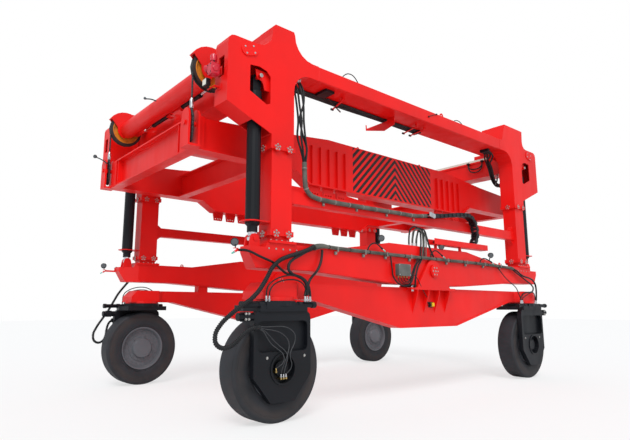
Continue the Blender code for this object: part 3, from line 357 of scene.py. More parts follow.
def lathe(profile, centre, way, steps=48, ring=False):
    # profile pairs (radius, along) turned about an axis: centre + along x axis + radius x (cos t, sin t);
    # ends on the axis close into poles, and ring=True joins the last pair to the first
    profile = np.asarray(profile, float)
    first, second, axis = basis(way)
    turn = np.linspace(0.0, 2 * np.pi, steps, endpoint=False)
    circle = np.cos(turn)[:, None] * first + np.sin(turn)[:, None] * second
    points = (np.asarray(centre, float) + profile[:, None, 1:2] * axis
              + profile[:, None, 0:1] * circle[None]).reshape(-1, 3)
    return points, [gridFaces(len(profile), steps, ring, True)]


def rod(radius, low, high, centre, way, steps=48):
    # a plain round bar between two heights on its axis
    return lathe([(0.0, low), (radius, low), (radius, high), (0.0, high)], centre, way, steps)


def sweep(path, radius, sides=12, lean=(0, 0, 1), lobes=0, lobeDepth=0.0, twist=0.0):
    # a tube: each ring is path + r (cos a n + sin a b), with n across the path and the lean direction;
    # lobes press strands into the ring, and twist winds them along the length
    path = np.asarray(path, float)
    radius = np.broadcast_to(np.asarray(radius, float), (len(path),))
    first, second = pathFrame(path, lean)
    circle = np.linspace(0.0, 2 * np.pi, sides, endpoint=False)[None, :]
    turn = circle + twist * runLength(path)[:, None]
    reach = radius[:, None] * (1.0 - lobeDepth * (0.5 + 0.5 * np.cos(lobes * circle)))
    points = (path[:, None] + (reach * np.cos(turn))[..., None] * first[:, None]
              + (reach * np.sin(turn))[..., None] * second[:, None])
    caps = [np.arange(sides)[::-1][None], ((len(path) - 1) * sides + np.arange(sides))[None]]
    return points.reshape(-1, 3), [gridFaces(len(path), sides, False, True)] + caps


def smoothPath(points, spacing=0.02):
    # a curve through the points: cubic Hermite pieces with slopes from the neighbours
    points = np.asarray(points, float)
    chord = runLength(points)
    slope = np.gradient(points, chord, axis=0)
    at = np.linspace(0.0, chord[-1], max(int(chord[-1] / spacing), 4))
    piece = np.clip(np.searchsorted(chord, at, side="right") - 1, 0, len(chord) - 2)
    length = (chord[piece + 1] - chord[piece])[:, None]
    t = (at - chord[piece])[:, None] / length
    return ((2 * t ** 3 - 3 * t ** 2 + 1) * points[piece] + (t ** 3 - 2 * t ** 2 + t) * length * slope[piece]
            + (3 * t ** 2 - 2 * t ** 3) * points[piece + 1] + (t ** 3 - t ** 2) * length * slope[piece + 1])


def corrugated(path, radius, pitch, depth, sides=14, lean=(0, 1, 0)):
    # a ribbed hose: the tube's radius is radius - depth (0.5 - 0.5 cos(2 pi s / pitch)) along the length s
    fine = np.arange(0.0, runLength(path)[-1], pitch / 6)
    return sweep(pointsAt(path, fine), radius - depth * (0.5 - 0.5 * np.cos(2 * np.pi * fine / pitch)), sides, lean)


def block(low, high, cut=0.003):
    # a box whose twelve edges are cut off: each corner gives three points, and each of them keeps its full
    # reach along one axis; a face, an edge and a corner of the box join four, four and three of them
    low, high = np.minimum(low, high).astype(float), np.maximum(low, high).astype(float)
    half = (high - low) / 2
    cut = min(cut, half.min() * 0.6)
    signs = np.array([(x, y, z) for x in (-1, 1) for y in (-1, 1) for z in (-1, 1)], float)
    points = ((low + high) / 2 + signs[:, None, :] * (half - cut * (1 - np.eye(3)))[None]).reshape(-1, 3)
    quads = []
    for axis, one, two in ((0, 1, 2), (1, 2, 0), (2, 0, 1)):
        a, b, c = (4 >> k for k in (axis, one, two))  # what a step along each axis adds to a corner's number
        quads += [[3 * (side + step) + axis for step in (0, b, b + c, c)] for side in (0, a)]
        quads += [[3 * k + one, 3 * (k + a) + one, 3 * (k + a) + two, 3 * k + two] for k in (0, b, c, b + c)]
    return points, [np.array(quads), np.arange(24).reshape(8, 3)]


def prism(outline, centre, way, up, thick, cut=0.002):
    # a flat outline in (across, up) made thick along way, with its two rims cut in by a small chamfer
    outline = np.asarray(outline, float)
    way, up = unit(way), unit(up)
    across = np.cross(up, way)
    middle = outline.mean(axis=0)
    small = middle + (outline - middle) * (1 - cut / np.abs(outline - middle).max())
    rings = [(small, -thick / 2), (outline, -thick / 2 + cut), (outline, thick / 2 - cut), (small, thick / 2)]
    points = np.concatenate([np.asarray(centre, float) + ring[:, :1] * across + ring[:, 1:] * up + depth * way
                             for ring, depth in rings])
    count = len(outline)
    return points, [gridFaces(4, count, False, True), np.arange(count)[::-1][None],
                    (3 * count + np.arange(count))[None]]


def placed(shape, frames, places):
    # the shape, drawn about the origin, set at each place with its own axes turned to the rows of each frame
    points, faces = shape
    every = (np.einsum("pk,nkc->npc", points, frames) + places[:, None]).reshape(-1, 3)
    shift = (np.arange(len(places)) * len(points))[:, None, None]
    return every, [(f[None] + shift).reshape(-1, f.shape[1]) for f in faces]


def copies(shape, places, ways):
    # the shape, drawn about the origin along +Z, set at each place and turned to each way
    places = np.asarray(places, float)
    ways = np.broadcast_to(np.asarray(ways, float), places.shape)
    return placed(shape, np.array([basis(way) for way in ways]), places)


def joinShapes(shapes):
    # several shapes as one, their face numbers moved on
    faces = []
    start = 0
    for shapePoints, shapeFaces in shapes:
        faces += [group + start for group in shapeFaces]
        start += len(shapePoints)
    return np.concatenate([s[0] for s in shapes]), faces


def makePiece(name, shapes, material, body, smooth=30.0, attribute=None):
    # joins shapes into one mesh object at the origin, its faces turned outwards, and hands it to its body
    points, faces = joinShapes(shapes)
    mesh = bpy.data.meshes.new(name)
    mesh.from_pydata(points.tolist(), [], [face for group in faces for face in group.tolist()])
    mesh.validate()
    form = bmesh.new()
    form.from_mesh(mesh)
    bmesh.ops.remove_doubles(form, verts=form.verts, dist=1e-6)
    bmesh.ops.recalc_face_normals(form, faces=form.faces)
    form.to_mesh(mesh)
    form.free()
    if attribute is not None:
        at = np.empty(len(mesh.vertices) * 3, np.float32)
        mesh.vertices.foreach_get("co", at)
        values = attribute[1](at.reshape(-1, 3)).astype(np.float32)
        mesh.attributes.new(attribute[0], "FLOAT", "POINT").data.foreach_set("value", values)
    mesh.shade_smooth()
    mesh.set_sharp_from_angle(angle=math.radians(smooth))
    mesh.materials.append(material)
    piece = bpy.data.objects.new(name, mesh)
    studio.collection.objects.link(piece)
    if body is not None:
        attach(piece, body)
    return piece

# Floor
floorSizes = {"half": 60.0, "grey": 0.8, "drop": 0.001, "glow": 0.62}
# a pale floor that the camera, mirrors and glass see as white where no shadow falls
paleFloor, floorGraph = newMaterial("paleFloor")
floorGraph.dress({"Base Color": (floorSizes["grey"],) * 3, "Roughness": 0.9})
rays = floorGraph.add("LightPath").outputs
seen = floorGraph.math("MAXIMUM", rays["Is Camera Ray"], rays["Is Transmission Ray"])
mixed = floorGraph.out("MixShader", floorGraph.math("MULTIPLY", seen, floorSizes["glow"]),
                       floorGraph.shader.outputs[0], floorGraph.out("Emission", (1.0, 1.0, 1.0)))
floorGraph.feed(floorGraph.tree.nodes["Material Output"].inputs[0], mixed)
floorMesh = bpy.data.meshes.new("floor")
floorMesh.from_pydata([(x * floorSizes["half"], y * floorSizes["half"], -floorSizes["drop"])
                       for x, y in ((-1, -1), (1, -1), (1, 1), (-1, 1))], [], [(0, 1, 2, 3)])
floorMesh.materials.append(paleFloor)
floor = bpy.data.objects.new("floor", floorMesh)
studio.collection.objects.link(floor)

# Wheels: solid tyres with ridged sidewalls, steel rims with a dished disc and bolts
wheelSizes = {"x": 3.3, "y": 2.194, "z": 0.685, "half": 0.175, "rimRadius": 0.4, "steps": 96}
tyreShape = {"shoulder": 0.046, "ridges": (0.437, 0.446, 0.604, 0.613), "ridgeHigh": 0.0035, "ridgeWide": 0.0022,
             "crown": 0.0012}


def ridgedSide(inner, outer, count=60):
    # the sidewall: width = half - 0.028 (1 - s)^3 - 0.004 s^4 - a narrow groove exp(-(r - ridge)^2) at each ridge,
    # with s running from 0 at the rim to 1 at the shoulder
    radius = np.linspace(inner, outer, count)
    s = (radius - inner) / (outer - inner)
    width = wheelSizes["half"] - 0.028 * (1 - s) ** 3 - 0.004 * s ** 4
    for ridge in tyreShape["ridges"]:
        width -= tyreShape["ridgeHigh"] * np.exp(-((radius - ridge) / tyreShape["ridgeWide"]) ** 2)
    return np.stack([radius, width], axis=1)


def tyreProfile():
    # sidewall, a shoulder as a quarter of an ellipse, a crowned tread, and the same mirrored
    big = wheelSizes["z"]
    shoulder = tyreShape["shoulder"]
    side = ridgedSide(wheelSizes["rimRadius"] + touch, big - shoulder)
    turn = np.linspace(0.0, np.pi / 2, 10)[1:]
    start = side[-1]
    corner = np.stack([start[0] + (shoulder - tyreShape["crown"]) * np.sin(turn),
                       start[1] - shoulder * 0.8 * (1 - np.cos(turn))], axis=1)
    half = np.concatenate([side, corner, [[big, corner[-1, 1] * 0.55], [big, 0.0]]])
    return np.concatenate([half, half[-2::-1] * (1, -1)])


def wheelDistance(at):
    # how far each point lies from its wheel's axle, for the sidewall's colours
    return np.hypot(np.abs(at[:, 0]) - wheelSizes["x"], at[:, 2] - wheelSizes["z"])


def boltHead(radius=0.012, high=0.009, washer=0.017, thin=0.003):
    # a hexagon on a washer, along +Z from its seat
    top = thin + high
    ring = rod(washer, 0.0, thin, (0, 0, 0), (0, 0, 1), 14)
    edge = thin - 0.001
    profile = [(0.0, edge), (radius, edge), (radius, top - 0.0015), (radius * 0.86, top), (0.0, top)]
    head = lathe(profile, (0, 0, 0), (0, 0, 1), 6)
    return joinShapes([ring, head])


def boltRing(centre, way, radius, count, head, first=0.0):
    # bolts on a circle: centre + radius (cos t, sin t) in the plane across the way
    one, two, axis = basis(way)
    turn = np.radians(first) + np.linspace(0.0, 2 * np.pi, count, endpoint=False)
    places = np.asarray(centre, float) + radius * (np.cos(turn)[:, None] * one + np.sin(turn)[:, None] * two)
    return copies(head, places, axis)


# the rim's section from its bore round the deep outer dish and back along the bolted inner side: (radius, along)
rimProfile = ((0.0909, -0.088), (0.0909, 0.1), (0.15, 0.1), (0.163, 0.094), (0.17, 0.08), (0.17, -0.03),
              (0.176, -0.038), (0.345, -0.022), (0.352, -0.014), (0.356, 0.13), (0.364, 0.15), (0.378, 0.16),
              (0.392, 0.165), (0.4, 0.163), (0.4, -0.163), (0.392, -0.165), (0.374, -0.158), (0.362, -0.14),
              (0.352, -0.11), (0.345, -0.094), (0.25, -0.098), (0.246, -0.112), (0.196, -0.116), (0.19, -0.124),
              (0.184, -0.15), (0.172, -0.163), (0.15, -0.169), (0.0, -0.171), (0.0, -0.088))
# the rim's rings of bolts: where along the axle, which way, the ring's radius, how many, first angle, head
rimBolts = ((-0.0965, -1, 0.295, 20, 0.0, boltHead(0.0105, 0.008, 0.015)),
            (-0.1155, -1, 0.222, 12, 15.0, boltHead(0.0105, 0.008, 0.015)),
            (-0.027, 1, 0.262, 10, 0.0, boltHead(0.013, 0.01, 0.019)))


def makeWheel(name, sx, sy):
    # the tyre stands for its plain ring, the disc for the plain rim
    centre = np.array([sx * wheelSizes["x"], sy * wheelSizes["y"], wheelSizes["z"]])
    out = np.array([0.0, sy, 0.0])
    tyre = makePiece("tread_" + name, [lathe(tyreProfile(), centre, out, wheelSizes["steps"], True)], tyreRubber,
                     "wheel_" + name, 28.0, ("ringRadius", wheelDistance))
    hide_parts("tyre_" + name)
    shapes = [lathe(rimProfile, centre, out, wheelSizes["steps"])]
    shapes += [boltRing(centre + out * at, out * way, radius, count, head, first)
               for at, way, radius, count, first, head in rimBolts]
    rim = makePiece("wheel_disc_" + name, shapes, rimPaint, "wheel_" + name)
    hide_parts("rim_" + name)


for cornerName, cornerX, cornerY in corners:
    makeWheel(cornerName, cornerX, cornerY)
print("wheels made")

# Bolted wear pads round the mouths of the outer and middle sleeves, as bosses with a flower of bolts
legSizes = {"x": 3.268, "y": 2.223, "halfX": 0.195, "halfY": 0.161, "proud": 0.014}
padSizes = {"outerZ": 3.628, "middleZ": 2.432, "radius": 0.06, "thick": 0.012, "spread": 0.105, "boltRing": 0.037,
            "bolts": 5}
padHead = boltHead(0.0105, 0.009, 0.0145)


def padBoss(centre, way):
    # a round boss along the way, chamfered, with a ring of bolts and one in the middle
    centre = np.asarray(centre, float)
    way = np.asarray(way, float)
    radius, thick = padSizes["radius"], padSizes["thick"]
    disc = lathe([(0.0, 0.0), (radius, 0.0), (radius, thick - 0.003), (radius - 0.003, thick), (0.0, thick)],
                 centre, way, 28)
    seat = centre + way * (thick - 0.0005)
    ring = boltRing(seat, way, padSizes["boltRing"], padSizes["bolts"], padHead, 90.0)
    return disc, ring, copies(padHead, [seat], [way])


def padFaces(sx, sy, inset, z):
    # the four faces of a sleeve's mouth: two bosses on each wide face and one on each narrow face
    x, y = sx * legSizes["x"], sy * legSizes["y"]
    deep = legSizes["halfY"] - inset + touch
    wide = legSizes["halfX"] - inset + touch
    for way in (-1, 1):
        for side in (-1, 1):
            yield (x + side * padSizes["spread"], y + way * deep, z), (0, way, 0)
        yield (x + way * wide, y, z), (way, 0, 0)


for levelName, z, inset, body in (("outer", padSizes["outerZ"], -legSizes["proud"], "portal"),
                                  ("middle", padSizes["middleZ"], 0.0, None)):
    for sideName, sy in sides:
        discs = []
        bolts = []
        for sx in (-1, 1):
            for centre, way in padFaces(sx, sy, inset, z):
                disc, ring, single = padBoss(centre, way)
                discs.append(disc)
                bolts += [ring, single]
        carrier = body or sideName + "_middle"
        makePiece(f"pads_{levelName}_{sideName}", discs, redPaint, carrier)
        makePiece(f"pad_bolts_{levelName}_{sideName}", bolts, zincBolt, carrier)

# Bolts along the sill under each mast's flange and on the flange itself
flangeSizes = {"z": 2.225, "top": 2.3353, "outY": 2.384, "count": 5, "faceRow": (-0.214, 0.25), "rimRow": 0.185,
               "rimY": 0.157}


def flangeBolts(sideName, sy):
    # a row on the sill's face and one along each side of the flange: first + (last - first) i / (n - 1)
    head = boltHead(0.0115, 0.01, 0.016)
    small = boltHead(0.009, 0.007, 0.013)
    shapes = []
    for endName, sx in ends:
        x = sx * legSizes["x"]
        across = np.linspace(*flangeSizes["faceRow"], flangeSizes["count"]) * -sx
        face = [(x + dx, sy * (flangeSizes["outY"] + touch), flangeSizes["z"]) for dx in across]
        shapes.append(copies(small, face, (0, sy, 0)))
        rims = [(x + dx, sy * legSizes["y"] + side * flangeSizes["rimY"], flangeSizes["top"] + touch)
                for dx in np.linspace(-flangeSizes["rimRow"], flangeSizes["rimRow"], flangeSizes["count"])
                for side in (-1, 1)]
        shapes.append(copies(head, rims, (0, 0, 1)))
    makePiece("flange_bolts_" + sideName, shapes, zincBolt, sideName + "_side")


def pivotCaps(sideName, sy):
    # a keeper plate with six bolts over each end of the walking beam's pin
    red = []
    bolts = []
    for face, way in ((2.384 + 0.052 + 0.022, 1), (2.062 - 0.052 - 0.022, -1)):
        centre = np.array([0.0, sy * (face + way * touch), 2.074])
        out = np.array([0.0, sy * way, 0.0])
        red.append(lathe([(0.0, 0.0), (0.092, 0.0), (0.092, 0.006), (0.088, 0.01), (0.0, 0.01)], centre, out, 40))
        bolts.append(boltRing(centre + out * 0.0095, out, 0.066, 6, boltHead(0.01, 0.008, 0.014)))
        bolts.append(copies(boltHead(0.013, 0.01, 0.018), [centre + out * 0.0095], [out]))
    makePiece("pivot_keeper_" + sideName, red, redPaint, sideName + "_side")
    makePiece("pivot_bolts_" + sideName, bolts, zincBolt, sideName + "_side")


for sideName, sy in sides:
    flangeBolts(sideName, sy)
    pivotCaps(sideName, sy)

# Inspection covers and lifting-pin heads on the knees' wings
coverSizes = {"x": 3.845, "z": 4.905, "reach": 0.052, "radius": 0.082, "tilt": 18.0, "thick": 0.016,
              "boltAt": 0.062}


def coverOutline():
    # an obround: two half circles of the radius whose centres lie apart by twice the reach
    right = np.linspace(-90, 90, 14)
    left = np.linspace(90, 270, 14)
    r, reach = coverSizes["radius"], coverSizes["reach"]
    rim = [(np.cos(np.radians(t)) * r + shift, np.sin(np.radians(t)) * r)
           for turn, shift in ((right, reach), (left, -reach)) for t in turn]
    tilt = math.radians(coverSizes["tilt"])
    return np.array(rim) @ np.array([[math.cos(tilt), math.sin(tilt)], [-math.sin(tilt), math.cos(tilt)]])


red = []
bolts = []
for cornerName, sx, sy in corners:
    face = sy * (2.384 + touch)
    thick = coverSizes["thick"]
    centre = np.array([sx * coverSizes["x"], face + sy * thick / 2, coverSizes["z"]])
    red.append(prism(coverOutline() * (1 if sx * sy > 0 else -1, 1), centre, (0, sy, 0), (0, 0, 1), thick))
    tilt = math.radians(coverSizes["tilt"])
    spots = []
    for a in (-1, 1):
        for b in (-1, 1):
            u, v = a * coverSizes["boltAt"] * 1.1, b * coverSizes["boltAt"] * 0.75
            spots.append(centre + np.array([-sx * (u * math.cos(tilt) - v * math.sin(tilt)),
                                            sy * thick / 2 - sy * 0.0005, u * math.sin(tilt) + v * math.cos(tilt)]))
    bolts.append(copies(boltHead(0.0095, 0.007, 0.0135), spots, (0, sy, 0)))
makePiece("wing_covers", red, redPaint, "portal")
makePiece("wing_cover_bolts", bolts, socketSteel, "portal")
print("bolted plates made")

# Hoist ropes: laid wire rope over each sheave, a pressed socket and a thimble loop round the lug's pin
ropeSizes = {"x": 4.3, "y": 1.64, "radius": 0.014, "pitchRadius": 0.27, "sheaveX": 4.03, "sheaveZ": 4.8,
             "socket": (4.185, 4.33), "socketRadius": 0.027, "loopTop": 4.178, "loopLow": 3.712, "loopHalf": 0.052,
             "anchorX": 3.7, "lay": 26.0, "loopRadius": 0.0205, "loopLay": 40.0, "strands": 6, "groove": 0.16}


def ropeLoop(sx, sy):
    # a closed drop: the half width grows from the socket, w (0.16 + d / 0.3) up to w, with d the share of the
    # drop run down, and closes over the last 0.28 of it as the ellipse w sqrt(1 - ((2 d - 1.44) / 0.56)^2)
    drop = ropeSizes["loopTop"] - ropeSizes["loopLow"]
    down = (1 - np.cos(np.linspace(0.0, np.pi, 40))) / 2
    wide = ropeSizes["loopHalf"] * np.sqrt(np.clip(1 - (2 * np.clip(down, 0.72, 1.0) - 1.44) ** 2 / 0.3136, 0, 1))
    wide *= np.clip(0.16 + down / 0.3, 0.0, 1.0)
    x, y = sx * ropeSizes["x"], sy * ropeSizes["y"]
    left, right = (np.stack([np.full_like(down, x), y + way * wide, ropeSizes["loopTop"] - drop * down], axis=1)
                   for way in (-1, 1))
    path = np.concatenate([left, right[-2::-1]])
    path = pointsAt(path, np.linspace(0.0, runLength(path)[-1], 150))
    return sweep(path, ropeSizes["loopRadius"], 12, (1, 0, 0), ropeSizes["strands"], ropeSizes["groove"],
                 ropeSizes["loopLay"])


def ropeFall(sx, sy):
    # up from the socket, a quarter turn over the sheave under its hood, then level to the anchor block
    x, y = sx * ropeSizes["x"], sy * ropeSizes["y"]
    up = np.linspace(ropeSizes["socket"][1] - 0.02, ropeSizes["sheaveZ"], 90)
    rise = np.stack([np.full_like(up, x), np.full_like(up, y), up], axis=1)
    turn = np.linspace(0.0, np.pi / 2, 60)[1:]
    over = np.stack([sx * (ropeSizes["sheaveX"] + ropeSizes["pitchRadius"] * np.cos(turn)), np.full_like(turn, y),
                     ropeSizes["sheaveZ"] + ropeSizes["pitchRadius"] * np.sin(turn)], axis=1)
    run = np.linspace(ropeSizes["sheaveX"], ropeSizes["anchorX"], 60)[1:]
    level = np.stack([sx * run, np.full_like(run, y), np.full_like(run, over[-1, 2])], axis=1)
    return sweep(np.concatenate([rise, over, level]), ropeSizes["radius"], 12, (0, 1, 0),
                 ropeSizes["strands"], ropeSizes["groove"], ropeSizes["lay"])


for cornerName, sx, sy in corners:
    x, y = sx * ropeSizes["x"], sy * ropeSizes["y"]
    rope = makePiece("rope_fall_" + cornerName, [ropeFall(sx, sy)], ropeSteel, None, 60.0)
    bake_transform(rope)
    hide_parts("hoist_rope_" + cornerName)
    low, high = ropeSizes["socket"]
    r = ropeSizes["socketRadius"]
    sleeve = lathe([(0.0, low), (r * 0.8, low), (r, low + 0.012), (r, high - 0.03), (r * 0.62, high), (0.0, high)],
                   (x, y, 0.0), (0, 0, 1), 24)
    makePiece("rope_socket_" + cornerName, [sleeve], socketSteel, "load_frame")
    makePiece("rope_loop_" + cornerName, [ropeLoop(sx, sy)], ropeSteel, "load_frame", 60.0)
print("ropes made")

# Free hoses of the near side, each as its route's own points, and the fittings they end in
hoseSizes = {"spacing": 0.018, "ribPitch": 0.026, "ribDepth": 0.008}
hoseRoutes = (
    # name, diameter, ribbed, bodies it runs between, points from its clamp to its far end
    ("ribbed_hose_near_left", 0.062, True, ("near_walk", "steer_near_left"),
     ((-2.74, -2.436, 2.3), (-2.892, -2.446, 2.232), (-3.06, -2.452, 2.176), (-3.23, -2.456, 2.122),
      (-3.37, -2.464, 2.062), (-3.48, -2.474, 1.975), (-3.6, -2.496, 1.81), (-3.72, -2.526, 1.672),
      (-3.85, -2.544, 1.56), (-4.0, -2.548, 1.47), (-4.14, -2.544, 1.372), (-4.262, -2.536, 1.262),
      (-4.326, -2.528, 1.15), (-4.312, -2.52, 1.044), (-4.226, -2.514, 0.988), (-4.12, -2.512, 1.0),
      (-4.02, -2.511, 1.062), (-3.925, -2.511, 1.146), (-3.84, -2.511, 1.196), (-3.766, -2.511, 1.212))),
    ("slew_hose_outer", 0.032, False, ("near_walk", "steer_near_left"),
     ((-3.96, -2.412, 2.166), (-3.88, -2.42, 2.17), (-3.79, -2.432, 2.15), (-3.68, -2.44, 2.108),
      (-3.56, -2.442, 2.07), (-3.45, -2.44, 2.034), (-3.345, -2.44, 1.968), (-3.25, -2.442, 1.906),
      (-3.14, -2.448, 1.882), (-3.02, -2.456, 1.868), (-2.93, -2.464, 1.82), (-2.872, -2.47, 1.74),
      (-2.852, -2.472, 1.66), (-2.846, -2.472, 1.6))),
    ("slew_hose_middle", 0.04, False, ("near_walk", "steer_near_left"),
     ((-2.76, -2.43, 2.262), (-2.89, -2.44, 2.214), (-3.02, -2.448, 2.15), (-3.13, -2.452, 2.094),
      (-3.2, -2.456, 2.03), (-3.214, -2.46, 1.956), (-3.16, -2.468, 1.898), (-3.07, -2.476, 1.868),
      (-2.98, -2.484, 1.826), (-2.93, -2.488, 1.76), (-2.912, -2.488, 1.69), (-2.908, -2.486, 1.612))),
    ("slew_hose_inner", 0.036, False, ("near_walk", "steer_near_left"),
     ((-2.588, -2.43, 2.262), (-2.596, -2.434, 2.2), (-2.618, -2.44, 2.11), (-2.66, -2.446, 2.02),
      (-2.722, -2.45, 1.94), (-2.792, -2.456, 1.88), (-2.85, -2.462, 1.82), (-2.886, -2.47, 1.742),
      (-2.928, -2.478, 1.68), (-2.952, -2.482, 1.612))),
    ("slew_arch_outer", 0.018, False, ("steer_near_left",),
     ((-3.581, -2.478, 1.6), (-3.578, -2.48, 1.668), (-3.544, -2.484, 1.744), (-3.462, -2.49, 1.806),
      (-3.352, -2.496, 1.85), (-3.23, -2.5, 1.872), (-3.11, -2.5, 1.866), (-3.01, -2.5, 1.83),
      (-2.93, -2.498, 1.77), (-2.886, -2.494, 1.7), (-2.872, -2.49, 1.65), (-2.868, -2.486, 1.6))),
    ("slew_arch_inner", 0.018, False, ("steer_near_left",),
     ((-3.535, -2.478, 1.6), (-3.528, -2.48, 1.66), (-3.49, -2.484, 1.726), (-3.41, -2.49, 1.778),
      (-3.31, -2.494, 1.806), (-3.19, -2.496, 1.818), (-3.08, -2.496, 1.808), (-2.996, -2.494, 1.77),
      (-2.95, -2.49, 1.71), (-2.94, -2.486, 1.65), (-2.94, -2.484, 1.6))),
    ("slew_arch_far_outer", 0.018, False, ("steer_far_left",),
     ((-3.581, 2.478, 1.6), (-3.578, 2.48, 1.668), (-3.544, 2.484, 1.744), (-3.462, 2.49, 1.806),
      (-3.352, 2.496, 1.85), (-3.23, 2.5, 1.872), (-3.11, 2.5, 1.866), (-3.01, 2.5, 1.83),
      (-2.93, 2.498, 1.77), (-2.886, 2.494, 1.7), (-2.872, 2.482, 1.65), (-2.868, 2.478, 1.6))),
    ("slew_arch_far_inner", 0.018, False, ("steer_far_left",),
     ((-3.535, 2.478, 1.6), (-3.528, 2.48, 1.66), (-3.49, 2.484, 1.726), (-3.41, 2.49, 1.778),
      (-3.31, 2.494, 1.806), (-3.19, 2.496, 1.818), (-3.08, 2.496, 1.808), (-2.996, 2.494, 1.77),
      (-2.95, 2.49, 1.71), (-2.94, 2.48, 1.65), (-2.94, 2.478, 1.6))),
    ("lower_hose_right_outer", 0.034, False, ("near_walk", "steer_near_right"),
     ((2.7, -2.424, 2.262), (2.86, -2.44, 2.206), (3.036, -2.452, 2.122), (3.18, -2.462, 2.09),
      (3.333, -2.47, 2.067), (3.46, -2.476, 2.02), (3.535, -2.48, 1.935), (3.552, -2.482, 1.84),
      (3.545, -2.482, 1.74), (3.537, -2.48, 1.66), (3.53, -2.478, 1.6))),
    ("lower_hose_right_inner", 0.028, False, ("near_walk", "steer_near_right"),
     ((2.69, -2.424, 2.24), (2.79, -2.448, 2.176), (3.032, -2.464, 2.072), (3.22, -2.474, 1.99),
      (3.35, -2.482, 1.932), (3.412, -2.488, 1.87), (3.38, -2.492, 1.806), (3.28, -2.494, 1.776),
      (3.15, -2.494, 1.768), (3.02, -2.492, 1.752), (2.92, -2.486, 1.706), (2.872, -2.48, 1.65),
      (2.866, -2.474, 1.6))),
    ("lower_cable_right", 0.018, False, ("near_walk", "steer_near_right"),
     ((2.129, -2.42, 2.254), (2.176, -2.432, 2.2), (2.292, -2.446, 2.095), (2.462, -2.456, 1.988),
      (2.64, -2.462, 1.905), (2.742, -2.466, 1.84), (2.79, -2.47, 1.77), (2.828, -2.474, 1.7),
      (2.862, -2.476, 1.65), (2.9, -2.474, 1.6))),
    ("slew_arch_right", 0.018, False, ("steer_near_right",),
     ((3.48, -2.478, 1.6), (3.474, -2.482, 1.68), (3.42, -2.49, 1.752), (3.32, -2.496, 1.77),
      (3.2, -2.498, 1.744), (3.08, -2.496, 1.706), (2.99, -2.49, 1.67), (2.946, -2.482, 1.64),
      (2.938, -2.476, 1.6))),
    ("ribbed_hose_far_left", 0.05, True, ("far_side", "steer_far_left"),
     ((-3.48, 2.43, 2.0), (-3.56, 2.436, 1.9), (-3.685, 2.446, 1.729), (-3.776, 2.452, 1.556),
      (-3.862, 2.458, 1.391), (-3.96, 2.464, 1.24), (-4.052, 2.47, 1.09), (-4.104, 2.478, 0.95),
      (-4.076, 2.488, 0.834), (-3.99, 2.496, 0.792), (-3.905, 2.5, 0.832), (-3.862, 2.503, 0.93),
      (-3.85, 2.505, 1.03), (-3.832, 2.505, 1.12), (-3.8, 2.505, 1.18), (-3.766, 2.505, 1.205))),
    ("lamp_cable_far_left", 0.022, False, ("far_side",),
     ((-3.806, 2.4, 2.222), (-3.77, 2.41, 2.246), (-3.72, 2.42, 2.226), (-3.676, 2.426, 2.16),
      (-3.64, 2.43, 2.08), (-3.6, 2.432, 2.01), (-3.54, 2.432, 1.96))),
)


def makeHose(name, diameter, ribbed, bodies, points, material, declared=True):
    # a free hose along its route, handed to its one body, or left unparented in place when it runs between two
    path = smoothPath(points, hoseSizes["spacing"])
    if ribbed:
        shape = corrugated(path, diameter / 2, hoseSizes["ribPitch"], hoseSizes["ribDepth"], 16)
    else:
        shape = sweep(path, diameter / 2, 12, (0, 1, 0))
    piece = makePiece(name, [shape], material, bodies[0] if len(bodies) == 1 else None, 60.0)
    if len(bodies) == 2:
        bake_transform(piece)
    if not declared:
        return path
    return path


def hoseFitting(radius=0.013, long=0.085):
    # a crimped ferrule over a hexagon nut and a stub, along +Z from its seat
    ferrule = lathe([(radius * wide, long * high) for wide, high in
                     ((0.0, 0.45), (1.0, 0.45), (1.05, 0.52), (0.94, 0.6), (1.05, 0.68), (0.94, 0.78), (1.05, 0.88),
                      (0.9, 1.0), (0.0, 1.0))], (0, 0, 0), (0, 0, 1), 20)
    nut = lathe([(radius * wide, long * high) for wide, high in
                 ((0.0, 0.16), (1.35, 0.16), (1.35, 0.42), (0.9, 0.47), (0.0, 0.47))], (0, 0, 0), (0, 0, 1), 6)
    return joinShapes([ferrule, nut, rod(radius * 0.85, 0.0, long * 0.18, (0, 0, 0), (0, 0, 1), 16)])


for name, diameter, ribbed, bodies, points in hoseRoutes:
    makeHose(name, diameter, ribbed, bodies, points, hoseRubber)

# upright fittings on the slew drives: body, side of the machine, seat height and each one's x and y
fittingRows = (
    ("steer_near_left", 1.53, ((-3.581, -2.478), (-3.535, -2.478))),
    ("steer_near_left", 1.5335, ((-2.846, -2.472), (-2.868, -2.486), (-2.908, -2.486), (-2.94, -2.484),
                                 (-2.952, -2.482))),
    ("steer_far_left", 1.53, ((-3.581, 2.478), (-3.535, 2.478))),
    ("steer_far_left", 1.5335, ((-2.868, 2.478), (-2.94, 2.478))),
    ("steer_near_right", 1.53, ((3.53, -2.478), (3.48, -2.478))),
    ("steer_near_right", 1.5335, ((2.866, -2.474), (2.9, -2.474), (2.938, -2.476))),
)
for body, seat, spots in fittingRows:
    long = 1.602 - seat
    fittings = copies(hoseFitting(0.0125, long), [(x, y, seat) for x, y in spots], (0, 0, 1))
    makePiece(f"slew_fittings_{body}_{len(spots)}", [fittings], socketSteel, body)
    if seat > 1.531:
        x, y = np.mean(spots, axis=0)
        manifold = block((x - 0.075, y - 0.024, 1.512), (x + 0.075, y + 0.024, seat))
        makePiece("slew_manifold_" + body, [manifold], blackPaint, body)

